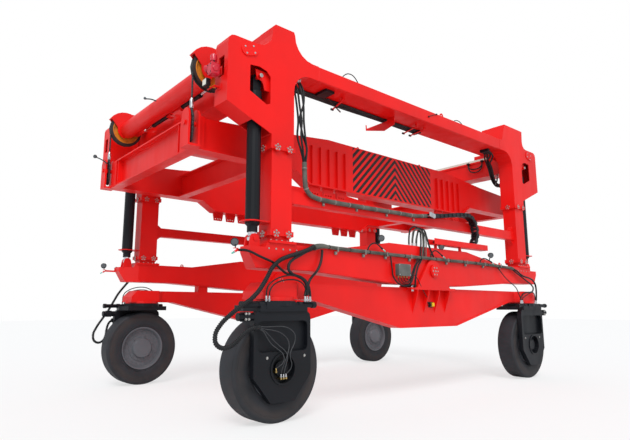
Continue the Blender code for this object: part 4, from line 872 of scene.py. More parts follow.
# Knuckle windows: a boot ends each ribbed hose and lets the thin ones out, which go down to the wheel motor
# (each as x and z from the boot on; the depths run from the boot's to the ring's and back to the elbow's)
windowHoses = (
    ((-3.7, 1.226), (-3.6, 1.216), (-3.49, 1.216), (-3.38, 1.217), (-3.27, 1.206), (-3.18, 1.168), (-3.124, 1.104),
     (-3.124, 1.03), (-3.16, 0.965), (-3.205, 0.9), (-3.215, 0.82), (-3.19, 0.745), (-3.198, 0.68), (-3.228, 0.64),
     (-3.247, 0.616)),
    ((-3.7, 1.214), (-3.6, 1.188), (-3.49, 1.172), (-3.38, 1.146), (-3.29, 1.096), (-3.236, 1.03), (-3.228, 0.965),
     (-3.25, 0.9), (-3.28, 0.82), (-3.316, 0.74), (-3.33, 0.67), (-3.326, 0.616)),
    ((-3.7, 1.202), (-3.61, 1.166), (-3.54, 1.11), (-3.46, 1.04), (-3.377, 0.971), (-3.3, 0.915), (-3.262, 0.85),
     (-3.28, 0.76), (-3.3, 0.7), (-3.296, 0.64), (-3.286, 0.616)),
    ((-3.7, 1.192), (-3.62, 1.15), (-3.57, 1.08), (-3.5, 1.0), (-3.41, 0.935), (-3.34, 0.88), (-3.32, 0.81),
     (-3.35, 0.75), (-3.386, 0.72), (-3.405, 0.692)),
)
windowDepths = ((0.0, 2.505), (0.12, 2.49), (0.3, 2.482), (0.5, 2.492), (0.62, 2.508), (0.8, 2.51), (0.9, 2.488),
                (1.0, 2.462))


def makeWindowHoses(name, sy):
    # each leaves the boot, arches through the window, crosses the hub's ring and turns into the motor's face
    body = "steer_" + name
    y = sy * 2.505
    boot = lathe([(0.0, 0.0), (0.026, 0.0), (0.037, 0.008), (0.037, 0.04), (0.033, 0.05), (0.036, 0.056),
                  (0.03, 0.084), (0.0, 0.088)], (-3.776, y, 1.212), (1, 0, 0), 24)
    clip = block((-3.752, sy * 2.4746, 1.168), (-3.728, sy * 2.512, 1.256))
    makePiece("hose_boot_" + name, [boot], hoseRubber, body)
    makePiece("boot_clip_" + name, [clip], blackPaint, body)
    lastPoints = []
    for number, route in enumerate(windowHoses):
        share = np.linspace(0.0, 1.0, len(route))
        depths = np.interp(share, *np.transpose(windowDepths)) + 0.004 * number * np.sin(np.pi * share)
        points = [(x, sy * depth, z) for (x, z), depth in zip(route, depths)]
        makeHose(f"window_hose_{name}_{number}", 0.012, False, (body,), points, paleHose, declared=False)
        lastPoints.append(points[-1])
    uprights = [(x, y, z - 0.04) for x, y, z in lastPoints[:3]]
    elbows = [block((x - 0.012, sy * 2.4044, z - 0.024), (x + 0.012, sy * 2.474, z - 0.0004), 0.002) for x, y,
              z in uprights]
    x, y, z = lastPoints[3]
    elbows.append(block((x - 0.012, sy * 2.4044, z - 0.052), (x + 0.012, sy * 2.474, z - 0.03), 0.002))
    makePiece("motor_fittings_" + name, [copies(hoseFitting(0.0095, 0.044), uprights, (0, 0, 1))], socketSteel,
              body)
    makePiece("motor_elbows_" + name, elbows + [copies(hoseFitting(0.009, 0.034), [(x, y, z - 0.0296)], (0, 0, 1))],
              brassFitting, body)


makeWindowHoses("near_left", -1)
makeWindowHoses("far_left", 1)
print("free hoses made")

# Clamped bundles: parallel hoses that wander round their path, with ties, clamps and wraps
def bundle(path, strands, lean=(0, 1, 0), turnEvery=2.6, sides=9):
    # each strand is (across, up, radius); its place turns slowly about the path: angle = 2 pi s / turnEvery
    first, second = pathFrame(path, lean)
    angle = 2 * np.pi * runLength(path) / turnEvery
    shapes = []
    for across, up, radius in strands:
        u = across * np.cos(angle) - up * np.sin(angle)
        v = across * np.sin(angle) + up * np.cos(angle)
        shapes.append(sweep(path + u[:, None] * first + v[:, None] * second, radius, sides, lean))
    return shapes


def bandsOn(path, radius, wide, spacing, start=0.1):
    # short rings round a path at even steps, each a lathe along the path's own direction
    profile = [(0.0, 0.0), (radius, 0.0), (radius + 0.002, wide * 0.25), (radius + 0.002, wide * 0.75),
               (radius, wide), (0.0, wide)]
    at = np.arange(start, runLength(path)[-1] - wide, spacing)
    return [lathe(profile, here, ahead - here, 14) for here,
            ahead in zip(pointsAt(path, at), pointsAt(path, at + wide))]


def clampPosts(places, way, reach, body, name):
    # a small welded foot, a post and a bolt head that hold a bundle off its beam
    way = np.asarray(way, float)
    places = np.asarray(places, float)
    foot = np.array([0.02, 0.0, 0.024])
    posts = [block(place - foot, place + foot + way * reach, 0.002) for place in places]
    makePiece(name, posts, greyPaint, body)
    makePiece(name + "_bolts", [copies(boltHead(0.008, 0.006, 0.012), places + way * reach, way)], zincBolt, body)


# The sill's harness along its outer face, from the left wheel's hoses to the right wheel's
harnessPath = smoothPath(((-2.56, -2.423, 2.318), (-2.4, -2.4225, 2.31), (-2.213, -2.422, 2.305),
                          (-1.5, -2.4215, 2.297), (-1.079, -2.4215, 2.293), (-0.054, -2.429, 2.291),
                          (0.6, -2.424, 2.29), (1.182, -2.4215, 2.29), (2.0, -2.4215, 2.278), (2.6, -2.422, 2.262)),
                         0.05)
harnessStrands = ((0.0, 0.016, 0.0135), (0.015, 0.004, 0.0125), (0.009, -0.014, 0.013), (-0.01, -0.013, 0.012),
                  (-0.016, 0.005, 0.0115))
makePiece("sill_harness", bundle(harnessPath, harnessStrands), wrapCloth, "near_side", 60.0)
makePiece("sill_harness_ties", bandsOn(harnessPath, 0.0305, 0.014, 0.42), hoseRubber, "near_side")
leftWrap = smoothPath(((-2.5, -2.4225, 2.316), (-2.58, -2.427, 2.318), (-2.66, -2.431, 2.309),
                       (-2.745, -2.434, 2.286)), 0.02)
rightWrap = smoothPath(((2.54, -2.422, 2.264), (2.6, -2.423, 2.262), (2.66, -2.4235, 2.258), (2.71, -2.424, 2.252)),
                       0.02)
for name, wrap, farRadius in (("harness_wrap_left", leftWrap, 0.046), ("harness_wrap_right", rightWrap, 0.036)):
    makePiece(name, [sweep(wrap, np.linspace(0.031, farRadius, len(wrap)), 20, (0, 1, 0), 5, 0.1)], wrapCloth,
              "near_side", 60.0)
clampX = (-2.3, -1.72, -1.22, -0.62, 0.42, 1.02, 1.62, 2.22)
clampPosts([(x, -2.3844, 2.238) for x in clampX], (0, -1, 0), 0.03, "near_side", "harness_posts")
straps = [block((x - 0.013, -2.456, 2.25), (x + 0.013, -2.4535, 2.326), 0.001) for x in clampX]
makePiece("harness_straps", straps, greyPaint, "near_side")

# Conduit along the tie beam, its wrapped riser at the post, and the hoses that hang down to it from the portal
conduitPath = smoothPath(((-2.85, -2.345, 3.52), (-2.846, -2.345, 3.38), (-2.838, -2.344, 3.24),
                          (-2.812, -2.342, 3.13), (-2.73, -2.339, 3.056), (-2.6, -2.336, 3.022),
                          (-2.4, -2.334, 3.012), (-1.7, -2.334, 3.012), (-0.9, -2.334, 3.022),
                          (-0.24, -2.334, 3.036), (-0.04, -2.345, 3.06)), 0.03)
makePiece("tie_conduit", [sweep(conduitPath, 0.036, 18, (0, 1, 0), 9, 0.1, 3.0)], wrapCloth, "near_middle", 60.0)
makePiece("tie_conduit_bands", bandsOn(conduitPath, 0.037, 0.02, 0.3, 0.08), greyPaint, "near_middle")
clampPosts([(x, -2.2934, 2.96) for x in (-2.45, -1.75, -1.05, -0.35)], (0, -1, 0), 0.02, "near_middle",
           "conduit_posts")
postHoses = (
    ((-2.986, -2.3, 4.694), (-2.975, -2.33, 4.6), (-2.947, -2.352, 4.349), (-2.915, -2.362, 4.13),
     (-2.926, -2.364, 3.899), (-2.888, -2.36, 3.683), (-2.866, -2.352, 3.56), (-2.862, -2.35, 3.5)),
    ((-2.93, -2.29, 4.738), (-2.91, -2.33, 4.62), (-2.88, -2.358, 4.38), (-2.885, -2.374, 4.13),
     (-2.86, -2.378, 3.88), (-2.83, -2.374, 3.69), (-2.834, -2.362, 3.56), (-2.838, -2.356, 3.5)),
    ((-2.88, -2.27, 4.762), (-2.85, -2.31, 4.64), (-2.86, -2.34, 4.42), (-2.94, -2.35, 4.16), (-2.88, -2.346, 3.92),
     (-2.8, -2.342, 3.72), (-2.826, -2.34, 3.57), (-2.836, -2.338, 3.5)),
    ((-3.01, -2.262, 4.668), (-3.008, -2.31, 4.56), (-2.984, -2.33, 4.36), (-2.96, -2.336, 4.12),
     (-2.97, -2.334, 3.88), (-2.905, -2.334, 3.69), (-2.868, -2.334, 3.57), (-2.86, -2.336, 3.5)),
)
for number, points in enumerate(postHoses):
    makeHose(f"post_hose_{number + 1}", 0.03, False, ("portal", "near_middle"), points, hoseRubber)
postTops = [(x, y, z + 0.052) for (x, y, z), *rest in postHoses]
makePiece("post_hose_fittings", [copies(hoseFitting(0.015, 0.058), postTops, (0, 0, -1))], socketSteel, "portal")

# Drag chain: links of two side plates and two bars, from the conduit's end round to the tray on the sill
chainSizes = {"pitch": 0.064, "high": 0.072, "wide": 0.14, "y": -2.372, "plate": 0.011, "arc": (1.165, 2.9005),
              "radius": 0.2975, "start": (0.01, 3.07), "lowEnd": 0.14, "look": 0.02}
cx, cz = chainSizes["arc"]
r = chainSizes["radius"]
startX, startZ = chainSizes["start"]
turn = np.linspace(np.pi / 2, -np.pi / 2, 40)
rise = np.linspace(0.0, 1.0, 40)[:-1]
# the upper run lifts from the conduit to the arc's top: z = z0 + (z1 - z0) (3 t^2 - 2 t^3)
upper = np.stack([startX + (cx - startX) * rise,
                  startZ + (cz + r - startZ) * (3 * rise ** 2 - 2 * rise ** 3)], axis=1)
bend = np.stack([cx + r * np.cos(turn), cz + r * np.sin(turn)], axis=1)
lower = np.stack([np.linspace(cx, chainSizes["lowEnd"], 40)[1:], np.full(39, cz - r)], axis=1)
chainLine = np.concatenate([upper, bend, lower])
at = (np.arange(int(runLength(chainLine)[-1] / chainSizes["pitch"])) + 0.5) * chainSizes["pitch"]
before, after = (pointsAt(chainLine, at + shift) for shift in (-chainSizes["look"], chainSizes["look"]))
centres = (before + after) / 2
ways = unit(after - before)


def chainLink(odd):
    # along +X, its plates stepped inwards on every other link so that neighbours overlap
    p, h, w, t = (chainSizes[key] for key in ("pitch", "high", "wide", "plate"))
    side = w / 2 - (t + 0.001 if odd else 0.0)
    parts = [block((-p / 2 - 0.011, s * side, -h / 2), (p / 2 + 0.011, s * (side - t), h / 2), 0.004)
             for s in (-1, 1)]
    parts += [block((-wide, -side + t * 0.5, s * h / 2), (wide, side - t * 0.5, s * (h / 2 - 0.007)), 0.002)
              for s, wide in ((1, 0.0285), (-1, 0.02))]
    return joinShapes(parts)


chainShapes = []
for odd in (0, 1):
    spots, heads = centres[odd::2], ways[odd::2]
    frames = np.zeros((len(spots), 3, 3))
    frames[:, 0, 0], frames[:, 0, 2] = heads[:, 0], heads[:, 1]
    frames[:, 1, 1] = 1.0
    frames[:, 2, 0], frames[:, 2, 2] = -heads[:, 1], heads[:, 0]
    places = np.stack([spots[:, 0], np.full(len(spots), chainSizes["y"]), spots[:, 1]], axis=1)
    chainShapes.append(placed(chainLink(odd), frames, places))
chain = makePiece("drag_chain", chainShapes, lampPlastic, None)
chainY = chainSizes["y"]
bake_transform(chain)
makePiece("chain_end_plate", [prism([(-0.08, -0.026), (0.06, -0.056), (0.095, -0.03), (0.095, 0.022),
                                     (-0.06, 0.052), (-0.08, 0.04)], (0.0, -2.449, 3.066), (0, -1, 0), (0, 0, 1),
                                    0.008),
                              block((-0.05, -2.445, 3.05), (0.02, -2.2934, 3.062), 0.002)], socketSteel,
          "near_middle")
trayShapes = [block((0.03, -2.452, 2.556), (1.755, -2.292, 2.563), 0.002),
              block((0.03, -2.452, 2.5632), (1.755, -2.446, 2.66), 0.002),
              block((0.03, -2.298, 2.5632), (1.755, -2.292, 2.66), 0.002)]
for x in (0.2, 0.95):
    trayShapes.append(block((x - 0.035, -2.372, 2.4905), (x + 0.035, -2.312, 2.4965), 0.002))
    trayShapes.append(block((x - 0.02, -2.364, 2.4967), (x + 0.02, -2.32, 2.5558), 0.002))
makePiece("chain_tray", trayShapes, redPaint, "near_side")
makePiece("chain_tray_fixing", [block((0.1, chainY - 0.06, 2.5634), (0.2, chainY + 0.06, 2.569))], socketSteel,
          "near_side")

# Hoses that come up through the sill's top, arch over its edge and join the harness
archFeet = (
    (0.028, ((-0.505, -2.31, 2.5), (-0.508, -2.322, 2.66), (-0.487, -2.342, 2.783), (-0.395, -2.368, 2.828),
             (-0.318, -2.392, 2.78), (-0.306, -2.412, 2.62), (-0.326, -2.42, 2.47), (-0.352, -2.424, 2.322))),
    (0.022, ((-0.452, -2.33, 2.5), (-0.452, -2.345, 2.64), (-0.432, -2.362, 2.748), (-0.362, -2.39, 2.786),
             (-0.288, -2.412, 2.74), (-0.268, -2.426, 2.6), (-0.282, -2.432, 2.46), (-0.302, -2.428, 2.322))),
    (0.026, ((-0.398, -2.3, 2.5), (-0.394, -2.316, 2.66), (-0.36, -2.34, 2.786), (-0.28, -2.37, 2.816),
             (-0.222, -2.398, 2.74), (-0.226, -2.416, 2.6), (-0.246, -2.424, 2.45), (-0.25, -2.428, 2.322))),
    (0.022, ((-0.345, -2.326, 2.5), (-0.34, -2.342, 2.64), (-0.306, -2.364, 2.742), (-0.236, -2.392, 2.76),
             (-0.184, -2.414, 2.68), (-0.186, -2.43, 2.56), (-0.204, -2.436, 2.44), (-0.204, -2.432, 2.322))),
    (0.03, ((-0.29, -2.296, 2.5), (-0.284, -2.316, 2.68), (-0.24, -2.342, 2.804), (-0.168, -2.372, 2.792),
             (-0.122, -2.398, 2.66), (-0.094, -2.414, 2.54), (-0.052, -2.424, 2.43), (0.012, -2.43, 2.326))),
)
for number, (diameter, points) in enumerate(archFeet):
    material = wrapCloth if number in (1, 3) else hoseRubber
    makeHose(f"sill_arch_hose_{number + 1}", diameter, False, ("near_side",), points, material)
feet = [(points[0][0], points[0][1], 2.4905) for _, points in archFeet]
makePiece("sill_arch_fittings", [copies(hoseFitting(0.0145, 0.055), feet, (0, 0, 1))], socketSteel, "near_side")
print("harness and drag chain made")

# Work lamps, plugs and boxes of the near side
# the housing's cooling steps and rim, and the slightly domed lens, both as (radius, along) in lens radii
lampProfile = ((0.0, -1.25), (0.42, -1.25), (0.5, -1.0), (0.8, -0.9), (0.8, -0.72), (0.72, -0.7), (0.74, -0.52),
               (0.9, -0.5), (0.92, -0.3), (1.0, -0.15), (1.0, 0.1), (0.88, 0.12), (0.86, 0.0), (0.0, -0.02))
lensProfile = ((0.0, 0.005), (0.845, 0.005), (0.845, 0.05), (0.6, 0.1), (0.3, 0.13), (0.0, 0.14))


def workLamp(place, aim, size=0.054):
    # a round lamp at a place that looks along its aim: the housing and the lens
    body, lens = (lathe(np.array(profile) * size, place, unit(aim), 32) for profile in (lampProfile, lensProfile))
    return body, lens


def plugTip(place, way):
    # a cable plug: black grip, plated collar and a pale green end
    place, way = np.asarray(place, float), np.asarray(way, float)
    grip = lathe([(0.0, 0.0), (0.013, 0.0), (0.015, 0.006), (0.015, 0.034), (0.011, 0.04), (0.0, 0.04)], place, way,
                 18)
    nose = place + way * 0.0402
    collar = rod(0.012, 0.0, 0.022, nose, way, 18)
    end = lathe([(0.0, 0.0), (0.01, 0.0), (0.01, 0.026), (0.006, 0.032), (0.0, 0.032)], nose + way * 0.0222, way,
                18)
    return grip, collar, end


lampRows = (
    # name, body, lamp's centre, foot of its stalk, route of the plug's cable
    ("sill_lamp_1", "near_side", (-1.3, -2.4, 2.545), (-1.3, -2.345, 2.4575),
     ((-1.66, -2.432, 2.318), (-1.64, -2.44, 2.37), (-1.58, -2.446, 2.425), (-1.495, -2.45, 2.445),
      (-1.425, -2.452, 2.418), (-1.375, -2.454, 2.384))),
    ("sill_lamp_2", "near_side", (0.294, -2.405, 2.528), (0.294, -2.345, 2.4905),
     ((-0.08, -2.436, 2.318), (-0.062, -2.444, 2.378), (0.0, -2.452, 2.428), (0.075, -2.456, 2.432),
      (0.145, -2.458, 2.4), (0.195, -2.46, 2.372))),
    ("sill_lamp_3", "near_side", (1.945, -2.4, 2.48), (1.945, -2.345, 2.3565),
     ((1.46, -2.432, 2.3), (1.492, -2.442, 2.352), (1.558, -2.448, 2.388), (1.64, -2.452, 2.392),
      (1.73, -2.454, 2.372), (1.815, -2.456, 2.35))),
)
for name, body, place, foot, route in lampRows:
    housing, lens = workLamp(place, (-0.42, -0.86, -0.3))
    stalk = sweep(np.linspace(foot, np.asarray(place) + (0.012, 0.03, -0.03), 4), 0.009, 10, (0, 1, 0))
    base = block(np.array(foot) - (0.03, 0.022, 0.0), np.array(foot) + (0.03, 0.022, 0.006), 0.001)
    makePiece(name, [housing, stalk, base], lampPlastic, body)
    makePiece(name + "_lens", [lens], lampGlass, body)
    way = unit((0.62, -0.42, -0.66))
    plug = [makePiece(name + tail, [shape], material, body) for tail, shape, material in
            zip(("_plug", "_plug_collar", "_plug_end"), plugTip(route[-1], way),
                (lampPlastic, socketSteel, signalGreen))]
    makeHose(name + "_plug_cable", 0.022, False, (body,), route, hoseRubber)

for name, sx, sy, body in (("end_lamp_near", -1, -1, "near_side"), ("end_lamp_far", -1, 1, "far_side")):
    # a lamp, its red bracket and a plug at the sill's left end
    place = (sx * 4.02, sy * 2.4, 2.262)
    housing, lens = workLamp(place, (-0.6, -0.75, -0.28), 0.052)
    bracket = [block((sx * 3.8, sy * 2.36, 2.15), (sx * 3.806, sy * 2.42, 2.235), 0.001),
               block((sx * 3.8062, sy * 2.395, 2.15), (sx * 3.99, sy * 2.401, 2.182), 0.001),
               block((sx * 3.97, sy * 2.38, 2.183), (sx * 4.03, sy * 2.42, 2.189), 0.001)]
    stalk = sweep(np.linspace((sx * 4.006, sy * 2.4, 2.189), (sx * 4.01, sy * 2.4, 2.235), 3), 0.008, 10, (0, 1, 0))
    grip, collar, end = plugTip((sx * 3.99, sy * 2.412, 2.16), unit((sx * 0.86, sy * 0.1, -0.5)))
    for tail, shapes, material in (("", [housing, stalk], lampPlastic), ("_lens", [lens], lampGlass),
                                   ("_bracket", bracket, redPaint), ("_plug", [grip], redPaint),
                                   ("_plug_collar", [collar], socketSteel), ("_plug_end", [end], signalGreen)):
        makePiece(name + tail, shapes, material, body)

# Junction box with four glands and the cables that loop under it
boxLow, boxHigh = np.array([-0.995, -2.482, 1.962]), np.array([-0.7, -2.398, 2.15])
lid = block((boxLow[0] - 0.004, boxLow[1] - 0.01, boxLow[2] - 0.004),
            (boxHigh[0] + 0.004, boxLow[1] + 0.006, boxHigh[2] + 0.004), 0.003)
makePiece("junction_box", [block(boxLow + (0, 0.0062, 0), boxHigh, 0.004), lid], boxGrey, "near_side")
makePiece("junction_box_bracket", [block((-1.05, -2.3976, 1.945), (-0.67, -2.3844, 2.168), 0.002),
                                   block((-1.05, -2.45, 1.945), (-1.042, -2.3978, 2.168), 0.002)], redPaint,
          "near_side")
lidBolts = [(x, boxLow[1] - 0.0102, z) for x in (-0.978, -0.717) for z in (1.978, 2.134)]
makePiece("junction_box_bolts", [copies(boltHead(0.006, 0.004, 0.009), lidBolts, (0, -1, 0))], socketSteel,
          "near_side")
glandX = (-0.955, -0.885, -0.815, -0.745)
gland = lathe([(0.0, 0.0), (0.013, 0.0), (0.013, 0.007), (0.01, 0.009), (0.01, 0.022), (0.0085, 0.028),
               (0.0, 0.028)],
              (0, 0, 0), (0, 0, 1), 6)
makePiece("junction_box_glands", [copies(gland, [(x, -2.436, boxLow[2] - 0.0002) for x in glandX], (0, 0, -1))],
          brassFitting, "near_side")
boxCables = (
    ("box_cable_1", 0.012, ((-0.955, -2.436, 1.936), (-0.955, -2.437, 1.896), (-0.925, -2.44, 1.856),
                            (-0.86, -2.442, 1.838), (-0.76, -2.444, 1.83), (-0.69, -2.446, 1.846),
                            (-0.65, -2.448, 1.9), (-0.6, -2.448, 2.01), (-0.545, -2.446, 2.11),
                            (-0.49, -2.44, 2.19), (-0.45, -2.434, 2.262))),
    ("box_cable_2", 0.012, ((-0.885, -2.436, 1.936), (-0.885, -2.438, 1.9), (-0.86, -2.442, 1.868),
                            (-0.8, -2.446, 1.852), (-0.73, -2.45, 1.856), (-0.68, -2.452, 1.89),
                            (-0.64, -2.452, 1.96), (-0.59, -2.45, 2.05), (-0.53, -2.446, 2.14),
                            (-0.47, -2.438, 2.21), (-0.43, -2.434, 2.262))),
    ("box_cable_3", 0.012, ((-0.815, -2.436, 1.936), (-0.814, -2.438, 1.904), (-0.79, -2.444, 1.876),
                            (-0.742, -2.45, 1.872), (-0.696, -2.454, 1.9), (-0.66, -2.456, 1.96),
                            (-0.606, -2.454, 2.06), (-0.54, -2.448, 2.15), (-0.46, -2.438, 2.22),
                            (-0.41, -2.434, 2.262))),
    ("box_loop", 0.024, ((-1.128, -2.434, 2.262), (-1.124, -2.44, 2.18), (-1.112, -2.446, 2.06),
                         (-1.096, -2.448, 1.95), (-1.03, -2.45, 1.872), (-0.93, -2.452, 1.818),
                         (-0.82, -2.454, 1.8), (-0.72, -2.458, 1.816), (-0.652, -2.462, 1.876),
                         (-0.606, -2.464, 1.97), (-0.56, -2.46, 2.07), (-0.5, -2.45, 2.16), (-0.42, -2.44, 2.225),
                         (-0.37, -2.434, 2.262))),
    ("box_down_hose", 0.03, ((-0.33, -2.434, 2.262), (-0.39, -2.446, 2.21), (-0.47, -2.46, 2.13),
                             (-0.53, -2.472, 2.03), (-0.566, -2.476, 1.93), (-0.572, -2.47, 1.85),
                             (-0.56, -2.452, 1.8), (-0.545, -2.42, 1.79))),
)
for name, diameter, points in boxCables:
    bodies = ("near_side", "near_walk") if name == "box_down_hose" else ("near_side",)
    makeHose(name, diameter, False, bodies, points, hoseRubber)
makePiece("down_hose_flange", [lathe([(0.0, 0.0), (0.03, 0.0), (0.03, 0.006), (0.021, 0.008), (0.021, 0.03),
                                      (0.0, 0.03)],
                                     (-0.545, -2.39, 1.788), (0, -1, 0), 20),
                               block((-0.575, -2.3898, 1.72), (-0.515, -2.3838, 1.812), 0.002),
                               block((-0.575, -2.3836, 1.7845), (-0.515, -2.305, 1.79), 0.002)], socketSteel,
          "near_walk")

# Yellow sensor on the walking beam with its cable from the box
makePiece("axle_sensor", [block((0.018, -2.352, 1.47), (0.092, -2.3112, 1.536), 0.004),
                          block((0.02, -2.366, 1.484), (0.06, -2.3522, 1.522), 0.003)], yellowCase, "near_walk")
makePiece("axle_sensor_cap", [block((-0.022, -2.35, 1.474), (0.0176, -2.3112, 1.532), 0.003),
                              block((-0.03, -2.311, 1.455), (0.105, -2.3044, 1.55), 0.002)], lampPlastic,
          "near_walk")
makeHose("axle_sensor_cable", 0.013, False, ("near_side", "near_walk"),
         ((-0.745, -2.436, 1.936), (-0.742, -2.44, 1.91), (-0.7, -2.448, 1.905), (-0.64, -2.45, 1.96),
          (-0.56, -2.446, 1.985), (-0.47, -2.438, 1.93), (-0.384, -2.428, 1.831), (-0.3, -2.412, 1.745),
          (-0.21, -2.392, 1.672), (-0.14, -2.372, 1.61), (-0.11, -2.352, 1.55), (-0.07, -2.338, 1.515),
          (-0.024, -2.332, 1.504)), hoseRubber)

# Eye plates on the sill and the load beams
def eyePlate(place, size, way):
    # a rounded tab with a hole, standing up from its foot: an outline bridged to its hole as one ring of quads
    turn = np.linspace(0.0, 2 * np.pi, 28, endpoint=False) - np.pi / 2
    circle = size * np.stack([np.cos(turn), np.sin(turn)], axis=1)
    outer = circle.copy()
    outer[:, 0] *= 1 - 0.55 * np.minimum(outer[:, 1], 0) / size
    hole = circle * 0.42 + (0.0, size * 0.12)
    way = np.asarray(way, float)
    across = np.array([1.0, 0.0, 0.0]) if abs(way[1]) > 0.5 else np.array([0.0, 1.0, 0.0])
    half = size * 0.16
    points = np.concatenate([np.asarray(place, float) + ring[:, :1] * across
                             + (ring[:, 1:] + size) * np.array([0.0, 0.0, 1.0]) + depth * way
                             for ring, depth in ((outer, -half), (outer, half), (hole, half), (hole, -half))])
    return points, [gridFaces(4, len(turn), True, True)]


for name, body, sy in (("near", "near_side", -1), ("far", "far_side", 1)):
    makePiece("sill_eyes_" + name, [eyePlate((x, sy * 2.3, 2.3004), 0.034, (0, 1, 0)) for x in (-2.42, 2.42)],
              redPaint, body)
    makePiece("load_beam_eyes_" + name, [eyePlate((x, sy * 1.515, 4.3004), 0.03, (0, 1, 0)) for x in (-0.9, 0.9)],
              redPaint, "load_frame")
    makePiece("beam_eyes_" + name, [eyePlate((0.62, sy * 2.3, 5.0604), 0.05, (0, 1, 0))], redPaint, "portal")

# Side-shift cylinders: bodies on the end beams, rods to the carriages' claws
shiftSizes = {"x": 3.782, "z": 4.77, "body": (0.27, 0.9), "radius": 0.042, "rod": (0.62, 1.296), "rodRadius": 0.017,
              "eyeRadius": 0.026, "lugX": 3.7154}
for endName, sx in ends:
    red, black, rods = [], [], []
    for sy in (-1, 1):
        x, z = sx * shiftSizes["x"], shiftSizes["z"]
        near, far = shiftSizes["body"]
        inner, outer = shiftSizes["rod"]
        r, thin, eye = (shiftSizes[key] for key in ("radius", "rodRadius", "eyeRadius"))
        black.append(lathe([(0.0178, near + 0.01), (r, near + 0.01), (r, near + 0.045), (r * 0.9, near + 0.05),
                            (r * 0.9, far - 0.07), (r, far - 0.066), (r, far - 0.006), (r * 0.9, far),
                            (0.0178, far)], (x, 0.0, z), (0, sy, 0), 28, True))
        black.append(block((x - 0.02, sy * (far - 0.12), z + r * 0.86),
                           (x + 0.02, sy * (far - 0.08), z + r + 0.026), 0.002))
        rods.append(lathe([(0.0, inner), (thin, inner), (thin, 1.25), (eye, 1.252), (eye, outer), (0.0, outer)],
                          (x, 0.0, z), (0, sy, 0), 24))
        red += [block((sx * shiftSizes["lugX"], sy * (near - 0.07), z + s * 0.034 - 0.007),
                      (x + sx * 0.038, sy * (near + 0.008), z + s * 0.034 + 0.007), 0.002) for s in (-1, 1)]
        red.append(rod(0.016, -0.062, 0.062, (x, sy * (near - 0.03), z), (0, 0, 1), 18))
        red.append(block((x - 0.02, sy * (near - 0.03), z - 0.0262), (x + 0.02, sy * (near + 0.0098), z + 0.0262),
                         0.002))
    makePiece("shift_cylinders_" + endName, black, blackPaint, "portal")
    makePiece("shift_lugs_" + endName, red, redPaint, "portal")
    makePiece("shift_rods_" + endName, rods, chromeRod, "carriage_" + endName)
    claws = [block((sx * 3.764, sy * 1.2962, 4.742), (sx * 3.8, sy * 1.334, 4.798), 0.002) for sy in (-1, 1)]
    makePiece("shift_claws_" + endName, claws, redPaint, "carriage_" + endName)

# Siren, square lamp and their brackets on the near left wing's end; lamps on stalks
makePiece("siren_bracket", [block((-4.1804, -2.245, 4.5), (-4.188, -2.13, 4.62), 0.002),
                            block((-4.1882, -2.215, 4.52), (-4.218, -2.195, 4.6), 0.002),
                            block((-4.1804, -2.235, 4.3), (-4.188, -2.135, 4.38), 0.002),
                            block((-4.1882, -2.205, 4.33), (-4.27, -2.165, 4.342), 0.002),
                            block((-4.25, -2.1648, 4.33), (-4.27, -2.01, 4.342), 0.002)], redPaint, "portal")
sirenAt = np.array([-4.285, -2.195, 0.0])
makePiece("siren", [block((-4.35, -2.262, 4.468), (-4.2184, -2.14, 4.628), 0.012),
                    lathe([(0.0, 4.6284), (0.046, 4.6284), (0.046, 4.64), (0.034, 4.644), (0.034, 4.664),
                           (0.044, 4.668), (0.045, 4.744), (0.04, 4.758), (0.024, 4.768), (0.0, 4.77)], sirenAt,
                          (0, 0, 1), 32),
                    lathe([(0.0, 0.0), (0.024, 0.0), (0.026, 0.01), (0.046, 0.052), (0.05, 0.066), (0.046, 0.068),
                           (0.02, 0.016), (0.0, 0.016)], sirenAt + (-0.02, 0.0552, 4.585), (-0.35, 0.94, 0.0), 28),
                    lathe([(0.0, 0.0), (0.04, 0.0), (0.04, 0.01), (0.034, 0.014), (0.0, 0.014)],
                          sirenAt + (-0.005, -0.0672, 4.548), (0, -1, 0), 28)], sirenPaint, "portal")
makePiece("siren_socket", [block((-4.312, -2.242, 4.646), (-4.29, -2.23, 4.66), 0.001)]
          + [rod(0.008, 0.0, 0.006, (-4.3504, y, z), (-1, 0, 0), 12)
             for y in (-2.245, -2.16) for z in (4.49, 4.6)], lampPlastic, "portal")
makePiece("wing_lamp", [block((-4.328, -2.095, 4.364), (-4.26, -1.985, 4.47), 0.008),
                        block((-4.27, -2.06, 4.3424), (-4.25, -2.02, 4.3636), 0.001)], lampPlastic, "portal")
makePiece("wing_lamp_lens", [block((-4.3312, -2.085, 4.376), (-4.3284, -1.995, 4.458), 0.001)], whiteLens, "portal")
makeHose("wing_lamp_cable", 0.01, False, ("portal",),
         ((-4.29, -1.985, 4.4), (-4.28, -1.97, 4.385), (-4.25, -1.966, 4.35), (-4.22, -1.99, 4.318),
          (-4.2, -2.05, 4.31), (-4.195, -2.1, 4.33), (-4.19, -2.134, 4.345)), hoseRubber, declared=False)
for name, body, start, end, material in (("tube_lamp", "carriage_left", (-4.1553, -0.06, 4.8365),
                                          (-4.285, 0.07, 4.882), socketSteel),
                                         ("frame_lamp", "load_frame", (-4.386, 1.47, 4.06), (-4.5, 1.79, 4.235),
                                          lampPlastic)):
    start, end = np.array(start), np.array(end)
    line = smoothPath((start, start * 0.55 + end * 0.45 + (0, 0, 0.012), end), 0.02)
    makePiece(name + "_stalk", [sweep(line, 0.01, 12, (0, 1, 0))], lampPlastic, body)
    housing, lens = workLamp(end + (-0.01, 0.01, 0.01), (-0.75, -0.6, -0.1),
                             0.024 if name == "tube_lamp" else 0.034)
    makePiece(name, [housing], material, body)
    makePiece(name + "_lens", [lens], lampGlass, body)

print("lamps, boxes and cylinders made")

